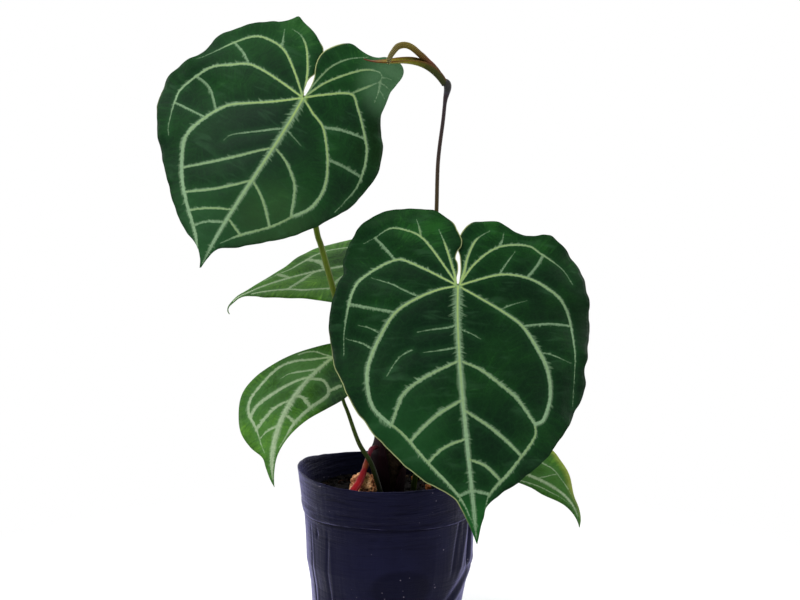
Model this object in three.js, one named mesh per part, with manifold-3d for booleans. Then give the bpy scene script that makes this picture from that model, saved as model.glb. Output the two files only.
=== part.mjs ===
// Potted anthurium: a soft nursery bag pot of potting mix, a short sheathed stem, five heart-shaped
// leaves with a raised net of pale veins, and one bloom on a thin stalk.
// Millimetres, +Z up. The origin is the middle of the pot's base, on the surface it stands on,
// and -Y is the front, where the largest leaf hangs over the rim of the pot.

import * as THREE from 'three';
import { mergeVertices } from 'three/addons/utils/BufferGeometryUtils.js';
import Module from 'manifold-3d';

const wasm = await Module();
wasm.setup();

const clearance = 0.35;      // gap between pieces that touch
const bladeThickness = 0.8;
const veinLift = 0.45;       // from the blade's face to the foot of a vein
const veinHeight = 0.6;
const veinStep = 9;          // length of one facet along a vein
const stalkSides = 8;
const petioleSteps = 17;

// A 12 cm bag pot of black film, its rim folded down outside as a cuff
const pot = {
  height: 115,
  wall: 1,
  cuffDepth: 26,
  cuffProud: 0.6,
  sides: 40,
  // height and mean outer radius, from the base to the rim
  profile: [[0, 48], [6, 49.4], [25, 51.4], [42, 53.6], [57, 56.4], [74, 57.2], [89, 58],
    [115, 59.8]],
  bulge: 2.3,                // how far the right side swells and the left side draws in
  slack: 0.5,                // depth of the soft dents round the side
  rimLift: 4.5,              // the left of the rim is pulled up
};

const mix = {
  level: 98.5, crown: 2, relief: 1.1, wallGap: 0.6, holeGap: 1, holeSides: 14,
  shares: [1, 0.93, 0.8, 0.62, 0.44, 0.3],   // rings of its top, as shares of its radius
};

const stem = {
  x: 2, y: 0, foot: 90, top: 130,
  // height and radius
  profile: [[90, 8.4], [104, 9], [120, 9.8], [128, 9.6], [130, 9]],
  seatRing: 5.6,             // the stalks stand on the stem's top on a ring of this radius
  sides: 16,
};

const sheath = {
  thickness: 1,
  halfSpan: 56,              // degrees of the stem that each sheath covers at its foot, to each side
  profile: [[90, 10.4], [101, 10.6], [115, 12], [128, 13], [138, 10], [146, 8]],
  facing: [222, 342, 102],
  tips: [146, 122, 134],
};

const root = {
  route: [[-10, -13.5, 131.8], [-12.2, -16.2, 125.5], [-14.6, -23, 119], [-17.6, -30, 113.4],
    [-21, -36, 109], [-23.4, -41, 101], [-23.8, -42, 90]],
  startAngle: 230, startHeight: 133, radiusStart: 1.4, radiusEnd: 2.6, steps: 18,
};

const chunk = { at: [-15.2, -17.4, 108], size: [9.2, 7.8, 9.4] };
const chips = [
  { at: [22, 32, 101.4], size: [4.6, 2.2, 2], turn: 15 },
  { at: [29, 9, 101], size: [3.6, 2, 1.8], turn: 100 },
];

// Each leaf is drawn flat, in millimetres: a is the distance from the midrib and y the distance from
// the petiole towards the tip. left and right are the margins from the sinus round to the tip, and
// the veins run on one side of the midrib. midrib is a Bezier curve, across is the way the right
// half points, and fold and curl are the degrees by which each half bends back from the midrib.
const leaves = {
  front_leaf: {
    midrib: [[45.6, -55, 244.6], [43, -68, 205], [51, -90, 146], [54.4, -111, 97.2]],
    across: [1, 0.05, 0], length: 160, halfWidth: 80,
    bend: { left: { fold: 4, curl: 22, phase: 0.6 }, right: { fold: 4, curl: 22, phase: 2.4 } },
    wave: { height: 3, length: 58 },
    rows: 27, fanRows: 10, columns: 6, shoulder: 0.46,
    left: [[0.4, -33], [0.9, -44], [5, -51.5], [17, -60.5], [37.5, -63], [55.5, -58], [69, -42],
      [75, -22], [75.6, -6], [82.4, 15], [81, 43], [70.5, 70], [56, 91.5], [32, 118], [11.5, 132.5],
      [3.5, 149], [0, 160]],
    right: [[0.4, -33], [0.6, -42], [4.5, -49.5], [13, -55.3], [24, -56.5], [37, -50], [47, -49.2],
      [57, -52.5], [66, -49.5], [84.5, -28], [93, 10], [91.8, 32.5], [85.7, 55.5], [84, 71.5],
      [67.4, 95], [48, 114], [29, 126], [10, 136.8], [5, 145.6], [0, 160]],
    veins: [
      { side: 'right', half: [2, 0.8], at: [[0, 0], [0, 53], [0, 100], [0, 156]] },
      { side: 'left', half: [1.1, 0.6], at: [[0, 0], [4.3, -16], [9.5, -34], [14, -46]] },
      { side: 'left', half: [1.7, 0.7], at: [[0, 0], [15.6, -26.6], [25, -39.5], [35, -44.8], [45.3, -46],
        [54.7, -38.6], [62.2, -34]] },
      { side: 'left', half: [1, 0.6], at: [[25, -39.5], [26.4, -47], [28.5, -54]] },
      { side: 'left', half: [2, 0.7], at: [[0, 0], [30, -17.6], [40, -20.1], [54.7, -11], [66.3, 3],
        [72, 27], [72.8, 43.6]] },
      { side: 'left', half: [0.8, 0.7], at: [[54.7, -38.6], [48.2, -31], [40.4, -20.3]] },
      { side: 'left', half: [2.1, 1], at: [[0, 0], [11.4, 3.4], [24, 9.6], [38.5, 19.5], [49, 35],
        [57, 52], [58, 66], [55, 77], [46, 86.5]] },
      { side: 'left', half: [0.8, 0.7], at: [[68.6, 13.1], [55, 15.9], [38.5, 19.5]] },
      { side: 'left', half: [1.6, 0.9], at: [[0, 53], [18.5, 60.4], [30.3, 66.3], [39.3, 72.3], [43, 86.5]] },
      { side: 'left', half: [1.3, 0.6], at: [[47.5, 85], [38, 93.4], [24.4, 111.3], [8, 131.7], [1, 148]] },
      { side: 'left', half: [1.6, 0.8], at: [[0, 77], [14.8, 84], [25.2, 91], [33.8, 98.2]] },
      { side: 'left', half: [1.2, 0.7], at: [[0, 99.7], [14, 103.8], [24.4, 111.3]] },
      { side: 'left', half: [0.9, 0.7], at: [[0, 129], [8, 131.7]] },
      { side: 'right', half: [1.1, 0.6], at: [[0, 0], [4.7, -24], [10, -39.4], [18.7, -48.4]] },
      { side: 'right', half: [1.7, 0.7], at: [[0, 0], [10.8, -21], [25.3, -36], [44, -40.5], [54, -36],
        [69.6, -26.4], [78, -13.6]] },
      { side: 'right', half: [0.9, 0.6], at: [[25.3, -36], [27.4, -43], [28, -48.5]] },
      { side: 'right', half: [0.8, 0.7], at: [[55.5, -34.8], [51, -24], [44.3, -12.9]] },
      { side: 'right', half: [2, 0.7], at: [[0, 0], [14, -7.4], [29, -13.4], [44.6, -13], [57.6, -7.6],
        [70, 2], [77.4, 22], [77.8, 52], [73.5, 82]] },
      { side: 'right', half: [0.8, 0.7], at: [[77.4, 24], [61.7, 24.4], [41.8, 28.4]] },
      { side: 'right', half: [2.1, 1], at: [[0, 0], [14.7, 8.8], [29.7, 18.5], [41.8, 28.4], [50.3, 43.7],
        [57, 60], [57.4, 76], [51, 90], [44.4, 93.4]] },
      { side: 'right', half: [1.6, 0.9], at: [[0, 53], [12.8, 59.2], [23.7, 68], [34.8, 78], [44.4, 93.4]] },
      { side: 'right', half: [1.3, 0.6], at: [[44.4, 93.4], [42.3, 101.8], [25, 119.4], [10.7, 131.7],
        [6, 142]] },
      { side: 'right', half: [1.6, 0.8], at: [[0, 83.2], [12.5, 92], [23, 101], [32.4, 111]] },
      { side: 'right', half: [1.2, 0.7], at: [[0, 111.6], [9.7, 116], [18, 124.6]] },
      { side: 'right', half: [0.9, 0.7], at: [[0, 129], [10.6, 132.3]] },
    ],
  },
  upper_leaf: {
    midrib: [[-53, -20, 363.6], [-72, -31, 326], [-98, -50, 292], [-112, -68, 257]],
    across: [0.86, -0.04, -0.5], length: 135, halfWidth: 75,
    bend: { left: { fold: 4, curl: 22, phase: 1.2 }, right: { fold: 6, curl: 30, phase: 0.2 } },
    wave: { height: 3, length: 52 },
    rows: 26, fanRows: 10, columns: 6, shoulder: 0.44,
    left: [[1.2, -18], [1.6, -25], [2.9, -35.4], [9, -41.8], [22, -49.6], [28.5, -51], [34, -45.6],
      [44, -40.8], [63, -30.5], [76.5, -17], [78.3, -3], [90.5, 12], [95, 29], [81, 56], [52, 86],
      [26.4, 110.7], [9, 122], [3, 129], [0, 137]],
    right: [[0.6, -18], [-0.4, -26], [-0.1, -36], [4, -45], [13.4, -50], [26.7, -49.3], [35.6, -55],
      [44, -57.6], [50, -54.5], [51.8, -48], [49.6, -32], [53, -14], [67.5, 9], [66, 33], [56, 57.4],
      [40, 82.6], [16, 109.3], [4.4, 118.5], [1.6, 127], [0, 137]],
    veins: [
      { side: 'right', half: [1.9, 0.8], at: [[0, 0], [0, 40], [0, 90], [0, 133]] },
      { side: 'left', half: [1.1, 0.6], at: [[0, 0], [4, -14], [9, -25], [14.5, -34], [21, -39.4],
        [28, -41]] },
      { side: 'left', half: [1.7, 0.7], at: [[0, 0], [12, -13], [21.7, -22], [28.8, -26.4], [38, -28.3],
        [49, -27.3], [61, -18.4], [74, -2], [80, 4]] },
      { side: 'left', half: [0.9, 0.6], at: [[28.8, -26.4], [30.8, -33], [33, -39]] },
      { side: 'left', half: [0.8, 0.7], at: [[61, -18.4], [51, -13], [43, -6.5]] },
      { side: 'left', half: [1.9, 0.8], at: [[0, 0], [27, -5.4], [43, -6.5], [55.5, -0.7], [65.6, 5.3],
        [73.5, 15.6], [79.4, 26.2], [79, 35], [70, 56.4], [65, 63.4]] },
      { side: 'left', half: [0.8, 0.7], at: [[73.5, 15.6], [60, 20.5], [46.6, 33.9]] },
      { side: 'left', half: [0.8, 0.7], at: [[76.1, 40], [63.8, 41], [50, 42]] },
      { side: 'left', half: [2, 0.8], at: [[0, 0], [15, 10.7], [26.8, 18], [39.9, 25.9], [46.5, 34],
        [51.2, 45], [53.7, 56.6], [52, 65.5], [41, 83.5], [27.6, 99.4], [13.6, 114], [5, 127]] },
      { side: 'left', half: [1.4, 0.8], at: [[0, 40], [7.4, 47], [18, 58], [30.2, 69], [44, 79.6]] },
      { side: 'left', half: [1.3, 0.8], at: [[0, 66.3], [8.2, 75], [18.4, 84], [33, 93.6]] },
      { side: 'left', half: [1.1, 0.7], at: [[0, 90], [13, 96], [24, 103.2]] },
      { side: 'left', half: [0.9, 0.7], at: [[0, 100], [10, 105], [16.4, 111.4]] },
      { side: 'right', half: [1.1, 0.6], at: [[0, 0], [3.5, -18.6], [7.2, -29.6], [14.6, -39.7],
        [25, -47.6]] },
      { side: 'right', half: [1.5, 0.6], at: [[0, 0], [7, -15], [15.2, -26.4], [25.5, -37.6], [33.2, -42],
        [38.3, -42], [40, -36.5]] },
      { side: 'right', half: [1.9, 0.8], at: [[0, 0], [10.4, -8.6], [25.7, -19], [34, -13.6], [46.7, 0],
        [55, 10], [60, 26], [58, 40], [56, 51]] },
      { side: 'right', half: [1, 0.6], at: [[25.7, -19], [32.4, -28], [39.4, -37]] },
      { side: 'right', half: [1.9, 1], at: [[0, 0], [10.2, 5.9], [20, 10.5], [28.8, 20.3], [35, 29],
        [40, 38.7], [42, 49], [40.3, 60.6], [34, 70.8]] },
      { side: 'right', half: [0.8, 0.7], at: [[20, 10.5], [32.6, 5.4], [48, 2]] },
      { side: 'right', half: [0.8, 0.7], at: [[33.7, 26], [45.4, 23.8], [59, 22.4]] },
      { side: 'right', half: [1.4, 0.8], at: [[0, 39], [10.3, 42.7], [19, 48.4], [25.7, 55.6], [33, 72]] },
      { side: 'right', half: [1.2, 0.6], at: [[34.4, 70.4], [25, 86.2], [11.6, 102.8], [4, 114]] },
      { side: 'right', half: [1.3, 0.8], at: [[0, 66], [9.6, 71.6], [17, 78], [25, 86.4]] },
      { side: 'right', half: [1, 0.7], at: [[0, 96.4], [7, 100], [12.6, 102.6]] },
    ],
  },
  back_leaf: {
    midrib: [[8, 37, 255], [-36, 31, 256], [-120, 19, 234], [-107, 12, 220.5]],
    across: [0.08, -0.9, -0.34], length: 128, halfWidth: 48,
    bend: { left: { fold: -6, curl: 12, phase: 0 }, right: { fold: -4, curl: 14, phase: 1 } },
    wave: { height: 1.5, length: 44 },
    rows: 20, fanRows: 6, columns: 4, shoulder: 0.34,
    left: [[1, -5], [6, -16], [17, -22], [30, -18], [41, -4], [46.5, 14], [46.5, 30], [41, 41], [31, 50],
      [17.5, 62], [9, 74], [4.8, 86], [2.4, 98], [1.3, 112], [0.9, 122], [0, 128]],
    right: [[1, -5], [5, -16], [14, -20], [26, -17], [40, -6], [50, 12], [53.5, 30], [51, 43.5], [39, 56],
      [28, 68], [19.5, 80], [11, 86], [3.4, 93], [1.3, 106], [0.9, 120], [0, 128]],
    veins: [
      { side: 'right', half: [1.6, 0.7], at: [[0, 0], [0, 60], [0, 104]] },
      { side: 'left', half: [1.2, 0.6], at: [[0, 0], [12, 3], [24, 12], [30, 26], [31, 36], [26, 43.5],
        [20.3, 48.4], [16.6, 53], [12.4, 58.5], [9.6, 66], [6.4, 76]] },
      { side: 'left', half: [1.2, 0.7], at: [[0, 42], [8.4, 41.8], [15, 44], [20.3, 48.4]] },
      { side: 'left', half: [0.8, 0.6], at: [[0, 60.4], [3.6, 62.9], [9.6, 66]] },
      { side: 'right', half: [1.2, 0.7], at: [[0, 0], [14, 4], [27, 16], [33.5, 32], [32.5, 42.3],
        [27, 55], [18.3, 64.4], [11.6, 75.8], [5.4, 86.5]] },
      { side: 'right', half: [1, 0.7], at: [[0, 45], [3.9, 50.4], [11.2, 56.2], [18.3, 64.4]] },
      { side: 'right', half: [1, 0.7], at: [[0, 24], [9, 27], [20, 36], [32.5, 42.3]] },
    ],
  },
  lower_left_leaf: {
    midrib: [[-35, -15, 194.3], [-59, -31, 178], [-78, -48, 150], [-69.4, -58, 118]],
    across: [0.62, -0.45, -0.64], length: 102, halfWidth: 42,
    bend: { left: { fold: 2, curl: 14, phase: 0 }, right: { fold: 18, curl: 32, phase: 2 } },
    wave: { height: 1.5, length: 40 },
    rows: 20, fanRows: 6, columns: 5, shoulder: 0.26,
    left: [[0.8, -4], [2.5, -8], [6, -9.5], [9.3, -6.7], [15.2, 5.3], [21.6, 17], [27, 27.2], [31.7, 38],
      [33.3, 48.4], [30.7, 58.7], [24.9, 69], [15.8, 77], [7, 82.7], [4.3, 89], [2, 97], [0, 102]],
    right: [[0.8, -4], [4, -9], [12, -11], [20, -8], [25, -1], [26, 12], [21.6, 31.6], [14.6, 49],
      [8, 66.7], [3.4, 81], [1.6, 91], [0, 102]],
    veins: [
      { side: 'right', half: [1.6, 0.7], at: [[0, 0], [0, 40], [0, 97]] },
      { side: 'left', half: [0.9, 0.6], at: [[0, 0], [6, 3], [10.4, 5], [14, 8], [17.8, 14]] },
      { side: 'left', half: [1.4, 0.6], at: [[0, 0], [8.6, 11.3], [16, 18.5], [22, 28], [24.8, 43],
        [25.6, 52], [22.5, 59], [13.5, 67], [5.4, 80]] },
      { side: 'left', half: [1.2, 0.7], at: [[0, 21], [5.2, 28.4], [13.5, 43], [19.7, 54], [20.6, 60.6]] },
      { side: 'left', half: [1, 0.7], at: [[0, 41], [7, 50], [12, 62], [14.2, 66.6]] },
      { side: 'left', half: [0.8, 0.6], at: [[0, 61], [6, 66], [10.2, 72]] },
      { side: 'right', half: [1.4, 0.6], at: [[0, 23], [7.7, 16.5], [15, 19], [16, 25.3], [12.9, 37.4],
        [8.6, 54], [5.8, 69], [3.6, 76]] },
      { side: 'right', half: [0.8, 0.6], at: [[15, 19], [17.2, 11.4], [18.4, 7.8]] },
      { side: 'right', half: [0.9, 0.6], at: [[0, 38], [4, 36], [8, 36.6], [12.9, 38.4]] },
      { side: 'right', half: [0.8, 0.6], at: [[0, 52.5], [5, 53.4], [8.8, 55]] },
    ],
  },
  lower_right_leaf: {
    midrib: [[50, 4, 146], [56, -12, 112], [125, -26, 125], [126.6, -34, 85]],
    across: [0.36, 0.84, 0.39], length: 98, halfWidth: 36,
    bend: { left: { fold: 8, curl: 20, phase: 0 }, right: { fold: -14, curl: 16, phase: 1 } },
    wave: { height: 1.2, length: 38 },
    rows: 22, fanRows: 6, columns: 4, shoulder: 0.34,
    left: [[0.8, -5], [4, -12], [10, -14], [17, -9], [21, 2], [21, 18], [16, 34], [10, 46], [8.9, 57],
      [9.7, 65], [8.1, 74], [5.8, 82], [3.2, 90], [0, 98]],
    right: [[0.8, -5], [4, -12], [12, -15], [22, -11], [30, 0], [34, 16], [35, 34], [34, 50], [30.4, 58.5],
      [24.5, 64.4], [17, 71.2], [8.7, 77.7], [5.2, 82], [3.8, 88], [2.4, 94], [0, 98]],
    veins: [
      { side: 'right', half: [1.5, 0.7], at: [[0, 0], [0, 50], [0, 92]] },
      { side: 'right', half: [1.2, 0.6], at: [[0, 0], [12, 8], [22, 24], [21, 42], [14.6, 56], [13.4, 63],
        [9, 70], [4.6, 79]] },
      { side: 'right', half: [1, 0.6], at: [[0, 34], [9, 43], [17.8, 49]] },
      { side: 'right', half: [0.9, 0.6], at: [[0, 58], [4.5, 61.9], [11.6, 66.4]] },
      { side: 'left', half: [1, 0.6], at: [[0, 0], [9, 10], [13.5, 26], [9.5, 42], [6, 56], [4.6, 70],
        [2, 83]] },
      { side: 'left', half: [0.8, 0.6], at: [[0, 36], [4, 42], [8.9, 44.4]] },
    ],
  },
};

// Stalks: points on the way from the crown or the potting mix to just under the blade
const petioles = {
  front_leaf: { seat: 285, radius: [2.2, 1.5],
    route: [[3.6, -6, 142], [10, -12, 170], [24, -26, 208], [38, -42, 234]], arrive: [0.38, -0.72, 0.57] },
  upper_leaf: { seat: 165, radius: [2.4, 1.7],
    route: [[-4.2, 1.6, 142], [-9.5, 0.5, 168], [-18, -4, 192], [-26, -17, 214], [-30.6, -22.5, 228],
      [-33.4, -23.5, 238.5], [-36, -22.5, 247.5], [-41.9, -20.5, 268.3], [-45.3, -18, 280.2],
      [-52, -11, 324]], arrive: [0.07, -0.55, 0.83] },
  back_leaf: { seat: 95, radius: [2.2, 1.4],
    route: [[1.5, 6.2, 142], [3, 14, 185], [6, 27, 225]], arrive: [0.05, 0.1, 0.99] },
  lower_left_leaf: { foot: [-2, -20.5, 90], radius: [1.95, 0.9],
    route: [[-2.6, -21.4, 101], [-4.5, -22, 109], [-9.6, -21, 124.5], [-17.8, -17.6, 137.5],
      [-25.2, -11, 156.4], [-28.7, -7, 164.6], [-32.9, -3.4, 181]], arrive: [-0.12, -0.74, 0.66] },
  lower_right_leaf: { foot: [18.6, 5, 90], radius: [2.1, 1.4],
    route: [[19.4, 5.2, 106], [25, 6.5, 124], [35.5, 7.4, 136]], arrive: [0.62, -0.2, 0.6] },
};

const peduncle = {
  seat: 30, radius: [1.7, 1.25],
  route: [[7.2, 3, 142], [16, 8, 185], [27, 11, 235], [33, 11, 275], [34.2, 10, 291], [35.1, 8, 323.8],
    [38.2, 4, 350.8], [39.5, 2.2, 363.9]],
  nodeRadius: 2.9, nodeShare: 0.04, steps: 30,
};

const spathe = {
  midrib: [[37.5, 0, 373.2], [22, -4, 396], [3, -12, 382], [-14, -17, 388.6]],
  across: [0.2, -0.94, -0.24], length: 58, halfWidth: 6.5,
  // The foot is rolled into a sheath round the spadix, and the blade opens towards the tip
  bend: {
    left: { fold: 0, curl: -150, curlTip: -25, phase: 0 },
    right: { fold: 0, curl: -150, curlTip: -25, phase: 0 },
  },
  wave: { height: 0, length: 58 },
  rows: 14, fanRows: 0, columns: 4, shoulder: 0,
  left: [[6.4, 0], [6.4, 12], [6, 26], [5, 38], [3.6, 48], [0, 58]],
  right: [[6.4, 0], [5.8, 12], [4.6, 26], [4, 38], [3, 48], [0, 58]],
  tubeRadius: 2.48,
};

const spadix = {
  route: [[34.6, -1.8, 382.8], [28.6, -4, 388.4], [22.6, -6.4, 393.2], [17.2, -9, 397.3],
    [12.6, -11.5, 398.5], [8.2, -14.2, 397.1], [5.2, -17, 393.4], [3, -19, 389.6], [2.3, -20.4, 386.4]],
  stalkRadius: 1.3, radius: 2, knob: 0.16, sides: 10, steps: 36,
  swells: [0.3, 0.42], roundFrom: 0.95,   // shares of its length
};

const colours = {
  film: 0x1b1c2c, mix: 0x14100e, clay: 0xb08a5c, bark: 0x7a4426, stem: 0x3a2a20, sheath: 0x3a1420,
  root: 0x94242c, leaf: 0x1f4f24, youngLeaf: 0x3f7d2a, vein: 0xa9c79a, petiole: 0x4b5a1a,
  peduncle: 0x4a3424, spathe: 0x7c6a1e, spadix: 0x6a5a34,
};

const vec = (x, y, z) => new THREE.Vector3(x, y, z);
const radians = THREE.MathUtils.degToRad;

// Closed solid with its faces pointing out, holding positions alone
function solid(geometry) {
  const bare = geometry.index ? geometry.toNonIndexed() : geometry.clone();
  bare.deleteAttribute('normal');
  bare.deleteAttribute('uv');
  const welded = mergeVertices(bare, 1e-4);
  const p = welded.attributes.position;
  const index = Array.from(welded.index.array);
  const kept = [];
  let volume = 0;
  for (let i = 0; i < index.length; i += 3) {
    const [a, b, c] = index.slice(i, i + 3);
    if (a === b || b === c || c === a) continue;
    kept.push(a, b, c);
    const [u, v, w] = [a, b, c].map((k) => vec(p.getX(k), p.getY(k), p.getZ(k)));
    volume += u.dot(v.cross(w)) / 6;
  }
  if (volume < 0) kept.reverse();
  welded.setIndex(kept);
  return welded;
}

function toManifold(geometry) {
  const triVerts = Uint32Array.from(geometry.index.array);
  const vertProperties = Float32Array.from(geometry.attributes.position.array);
  return new wasm.Manifold(new wasm.Mesh({ numProp: 3, vertProperties, triVerts }));
}

function toGeometry(manifold) {
  const mesh = manifold.getMesh();
  const geometry = new THREE.BufferGeometry();
  geometry.setAttribute('position', new THREE.BufferAttribute(mesh.vertProperties, 3));
  geometry.setIndex(Array.from(mesh.triVerts));
  return geometry;
}

// Plate between two grids of points, upper and lower, with a wall round its edge.
// Both faces are split into triangles the same way.
function plate(rows, columns, upper, lower) {
  const corners = [];
  const triangle = (a, b, c) => corners.push(...a, ...b, ...c);
  const quad = (a, b, c, d) => {
    triangle(a, b, c);
    triangle(a, c, d);
  };
  for (let i = 0; i < rows; i += 1) {
    for (let j = 0; j < columns; j += 1) {
      quad(upper[i][j], upper[i + 1][j], upper[i + 1][j + 1], upper[i][j + 1]);
      triangle(lower[i][j], lower[i + 1][j + 1], lower[i + 1][j]);
      triangle(lower[i][j], lower[i][j + 1], lower[i + 1][j + 1]);
    }
  }
  for (let i = 0; i < rows; i += 1) {
    quad(upper[i][0], lower[i][0], lower[i + 1][0], upper[i + 1][0]);
    quad(upper[i][columns], upper[i + 1][columns], lower[i + 1][columns], lower[i][columns]);
  }
  for (let j = 0; j < columns; j += 1) {
    quad(upper[0][j], upper[0][j + 1], lower[0][j + 1], lower[0][j]);
    quad(upper[rows][j], lower[rows][j], lower[rows][j + 1], upper[rows][j + 1]);
  }
  const geometry = new THREE.BufferGeometry();
  geometry.setAttribute('position', new THREE.Float32BufferAttribute(corners, 3));
  return solid(geometry);
}

// Value of a smooth profile given as [height, value] pairs
function alongProfile(profile, height) {
  const last = profile.length - 1;
  if (height <= profile[0][0]) return profile[0][1];
  for (let i = 0; i < last; i += 1) {
    const [z0, r0] = profile[i];
    const [z1, r1] = profile[i + 1];
    if (height <= z1) return THREE.MathUtils.lerp(r0, r1, (height - z0) / (z1 - z0));
  }
  return profile[last][1];
}

// Closed skin about the Z axis through rings, each a function from an angle to [radius, height].
// The first and the last ring are points on the axis.
function turned(rings, sides) {
  const corners = [];
  const at = (ring, k) => {
    const angle = (k % sides) / sides * 2 * Math.PI;
    const [r, z] = ring(angle);
    return [r * Math.cos(angle), r * Math.sin(angle), z];
  };
  for (let i = 1; i < rings.length; i += 1) {
    for (let k = 0; k < sides; k += 1) {
      const [a, b] = [rings[i - 1], rings[i]].map((ring) => at(ring, k));
      const [c, d] = [rings[i], rings[i - 1]].map((ring) => at(ring, k + 1));
      if (i > 1) corners.push(...a, ...d, ...c);
      corners.push(...a, ...c, ...b);
    }
  }
  const geometry = new THREE.BufferGeometry();
  geometry.setAttribute('position', new THREE.Float32BufferAttribute(corners, 3));
  return solid(geometry);
}

// Round stalk along a smooth curve, with its radius given for each share of its length
function stalk(points, radiusAt, sides, steps) {
  const curve = new THREE.CatmullRomCurve3(points.map((p) => vec(...p)), false, 'catmullrom', 0.5);
  const frames = curve.computeFrenetFrames(steps, false);
  const rings = [];
  for (let i = 0; i <= steps; i += 1) {
    const centre = curve.getPointAt(i / steps);
    const ring = [];
    for (let k = 0; k < sides; k += 1) {
      const turn = (k / sides) * 2 * Math.PI;
      const radius = radiusAt(i / steps, turn);
      ring.push(centre.clone()
        .addScaledVector(frames.normals[i], radius * Math.cos(turn))
        .addScaledVector(frames.binormals[i], radius * Math.sin(turn)));
    }
    rings.push({ centre, ring });
  }
  const corners = [];
  const triangle = (...three) => three.forEach((p) => corners.push(p.x, p.y, p.z));
  for (let k = 0; k < sides; k += 1) {
    const next = (k + 1) % sides;
    for (let i = 0; i < steps; i += 1) {
      const [a, b] = [rings[i].ring, rings[i + 1].ring];
      triangle(a[k], a[next], b[next]);
      triangle(a[k], b[next], b[k]);
    }
    triangle(rings[0].centre, rings[0].ring[next], rings[0].ring[k]);
    triangle(rings[steps].centre, rings[steps].ring[k], rings[steps].ring[next]);
  }
  const geometry = new THREE.BufferGeometry();
  geometry.setAttribute('position', new THREE.Float32BufferAttribute(corners, 3));
  return solid(geometry);
}

// Curved face of a leaf: turns flat positions into points in space
class LeafFace {
  constructor(leaf) {
    this.leaf = leaf;
    this.midrib = new THREE.CubicBezierCurve3(...leaf.midrib.map((p) => vec(...p)));
    this.across = vec(...leaf.across).normalize();
    this.startSpeed = 3 * this.midrib.v1.distanceTo(this.midrib.v0);
  }

  frame(y) {
    const t = y / this.leaf.length;
    const along = this.midrib.getTangent(Math.max(t, 0));
    const out = this.across.clone().addScaledVector(along, -this.across.dot(along)).normalize();
    const up = along.clone().cross(out);
    const base = this.midrib.getPoint(Math.max(t, 0));
    if (t < 0) base.addScaledVector(along, t * this.startSpeed);
    return { t, along, out, up, base };
  }

  point(side, a, y) {
    const { t, out, up, base } = this.frame(y);
    const { bend, halfWidth, wave } = this.leaf;
    const { fold, curl, curlTip = curl, phase } = bend[side];
    const start = radians(fold);
    const turn = radians(THREE.MathUtils.lerp(curl, curlTip, THREE.MathUtils.clamp(t, 0, 1))) / halfWidth;
    const end = start + turn * a;
    const reach = (Math.sin(end) - Math.sin(start)) / turn;
    const drop = (Math.cos(end) - Math.cos(start)) / turn;
    const ripple = wave.height * (a / halfWidth) ** 2 * Math.sin(2 * Math.PI * y / wave.length + phase);
    return base
      .addScaledVector(out, side === 'left' ? -reach : reach)
      .addScaledVector(up, drop + ripple);
  }

  normal(side, a, y) {
    if (a === 0 && y >= 0) return this.frame(y).up;
    const h = 0.05;
    const alongA = this.point(side, a + h, y).sub(this.point(side, a - h, y));
    const alongY = this.point(side, a, y + h).sub(this.point(side, a, y - h));
    const n = alongY.cross(alongA).normalize();
    return side === 'left' ? n.negate() : n;
  }

  raised(side, a, y, height) {
    return this.point(side, a, y).addScaledVector(this.normal(side, a, y), height);
  }
}

const flatCurve = (points) => (
  new THREE.CatmullRomCurve3(points.map(([a, y]) => vec(a, y, 0)), false, 'catmullrom', 0.5));

// Blade: rows run from the midrib out to the margin, fanned round the petiole in the lobes
function blade(leaf) {
  const face = new LeafFace(leaf);
  const { rows, fanRows, columns, shoulder, length } = leaf;
  const margins = { left: flatCurve(leaf.left), right: flatCurve(leaf.right) };
  const upper = [];
  const lower = [];
  for (let i = 0; i <= rows; i += 1) {
    const past = Math.max(i - fanRows, 0) / (rows - fanRows);
    const share = i < fanRows ? shoulder * i / fanRows : shoulder + (1 - shoulder) * past;
    const start = length * past;
    const edges = { left: margins.left.getPointAt(share), right: margins.right.getPointAt(share) };
    const rowUpper = [];
    const rowLower = [];
    for (let j = -columns; j <= columns; j += 1) {
      const side = j < 0 ? 'left' : 'right';
      const k = Math.abs(j) / columns;
      const a = edges[side].x * k;
      const y = THREE.MathUtils.lerp(start, edges[side].y, k);
      const tip = i === rows;
      const at = tip ? [side, 0, length] : [side, a, y];
      rowUpper.push(face.raised(...at, bladeThickness / 2).toArray());
      rowLower.push(face.raised(...at, -bladeThickness / 2).toArray());
    }
    upper.push(rowUpper);
    lower.push(rowLower);
  }
  return plate(rows, 2 * columns, upper, lower);
}

// One vein: a low ridge with three corners that follows the face
function vein(face, { side, half, at }) {
  const curve = flatCurve(at);
  const steps = Math.max(1, Math.round(curve.getLength() / veinStep));
  const base = bladeThickness / 2 + veinLift;
  const sections = [];
  for (let k = 0; k <= steps; k += 1) {
    const { x: a, y } = curve.getPointAt(k / steps);
    const way = curve.getTangentAt(k / steps);
    const w = THREE.MathUtils.lerp(half[0], half[1], k / steps);
    sections.push([
      face.raised(side, a - way.y * w, y + way.x * w, base),
      face.raised(side, a, y, base + veinHeight),
      face.raised(side, a + way.y * w, y - way.x * w, base),
    ]);
  }
  const corners = [];
  const triangle = (...three) => three.forEach((p) => corners.push(p.x, p.y, p.z));
  for (let k = 0; k < steps; k += 1) {
    for (let i = 0; i < 3; i += 1) {
      const next = (i + 1) % 3;
      triangle(sections[k][i], sections[k][next], sections[k + 1][next]);
      triangle(sections[k][i], sections[k + 1][next], sections[k + 1][i]);
    }
  }
  triangle(sections[0][0], sections[0][2], sections[0][1]);
  triangle(sections[steps][0], sections[steps][1], sections[steps][2]);
  const geometry = new THREE.BufferGeometry();
  geometry.setAttribute('position', new THREE.Float32BufferAttribute(corners, 3));
  return toManifold(solid(geometry));
}

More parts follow.
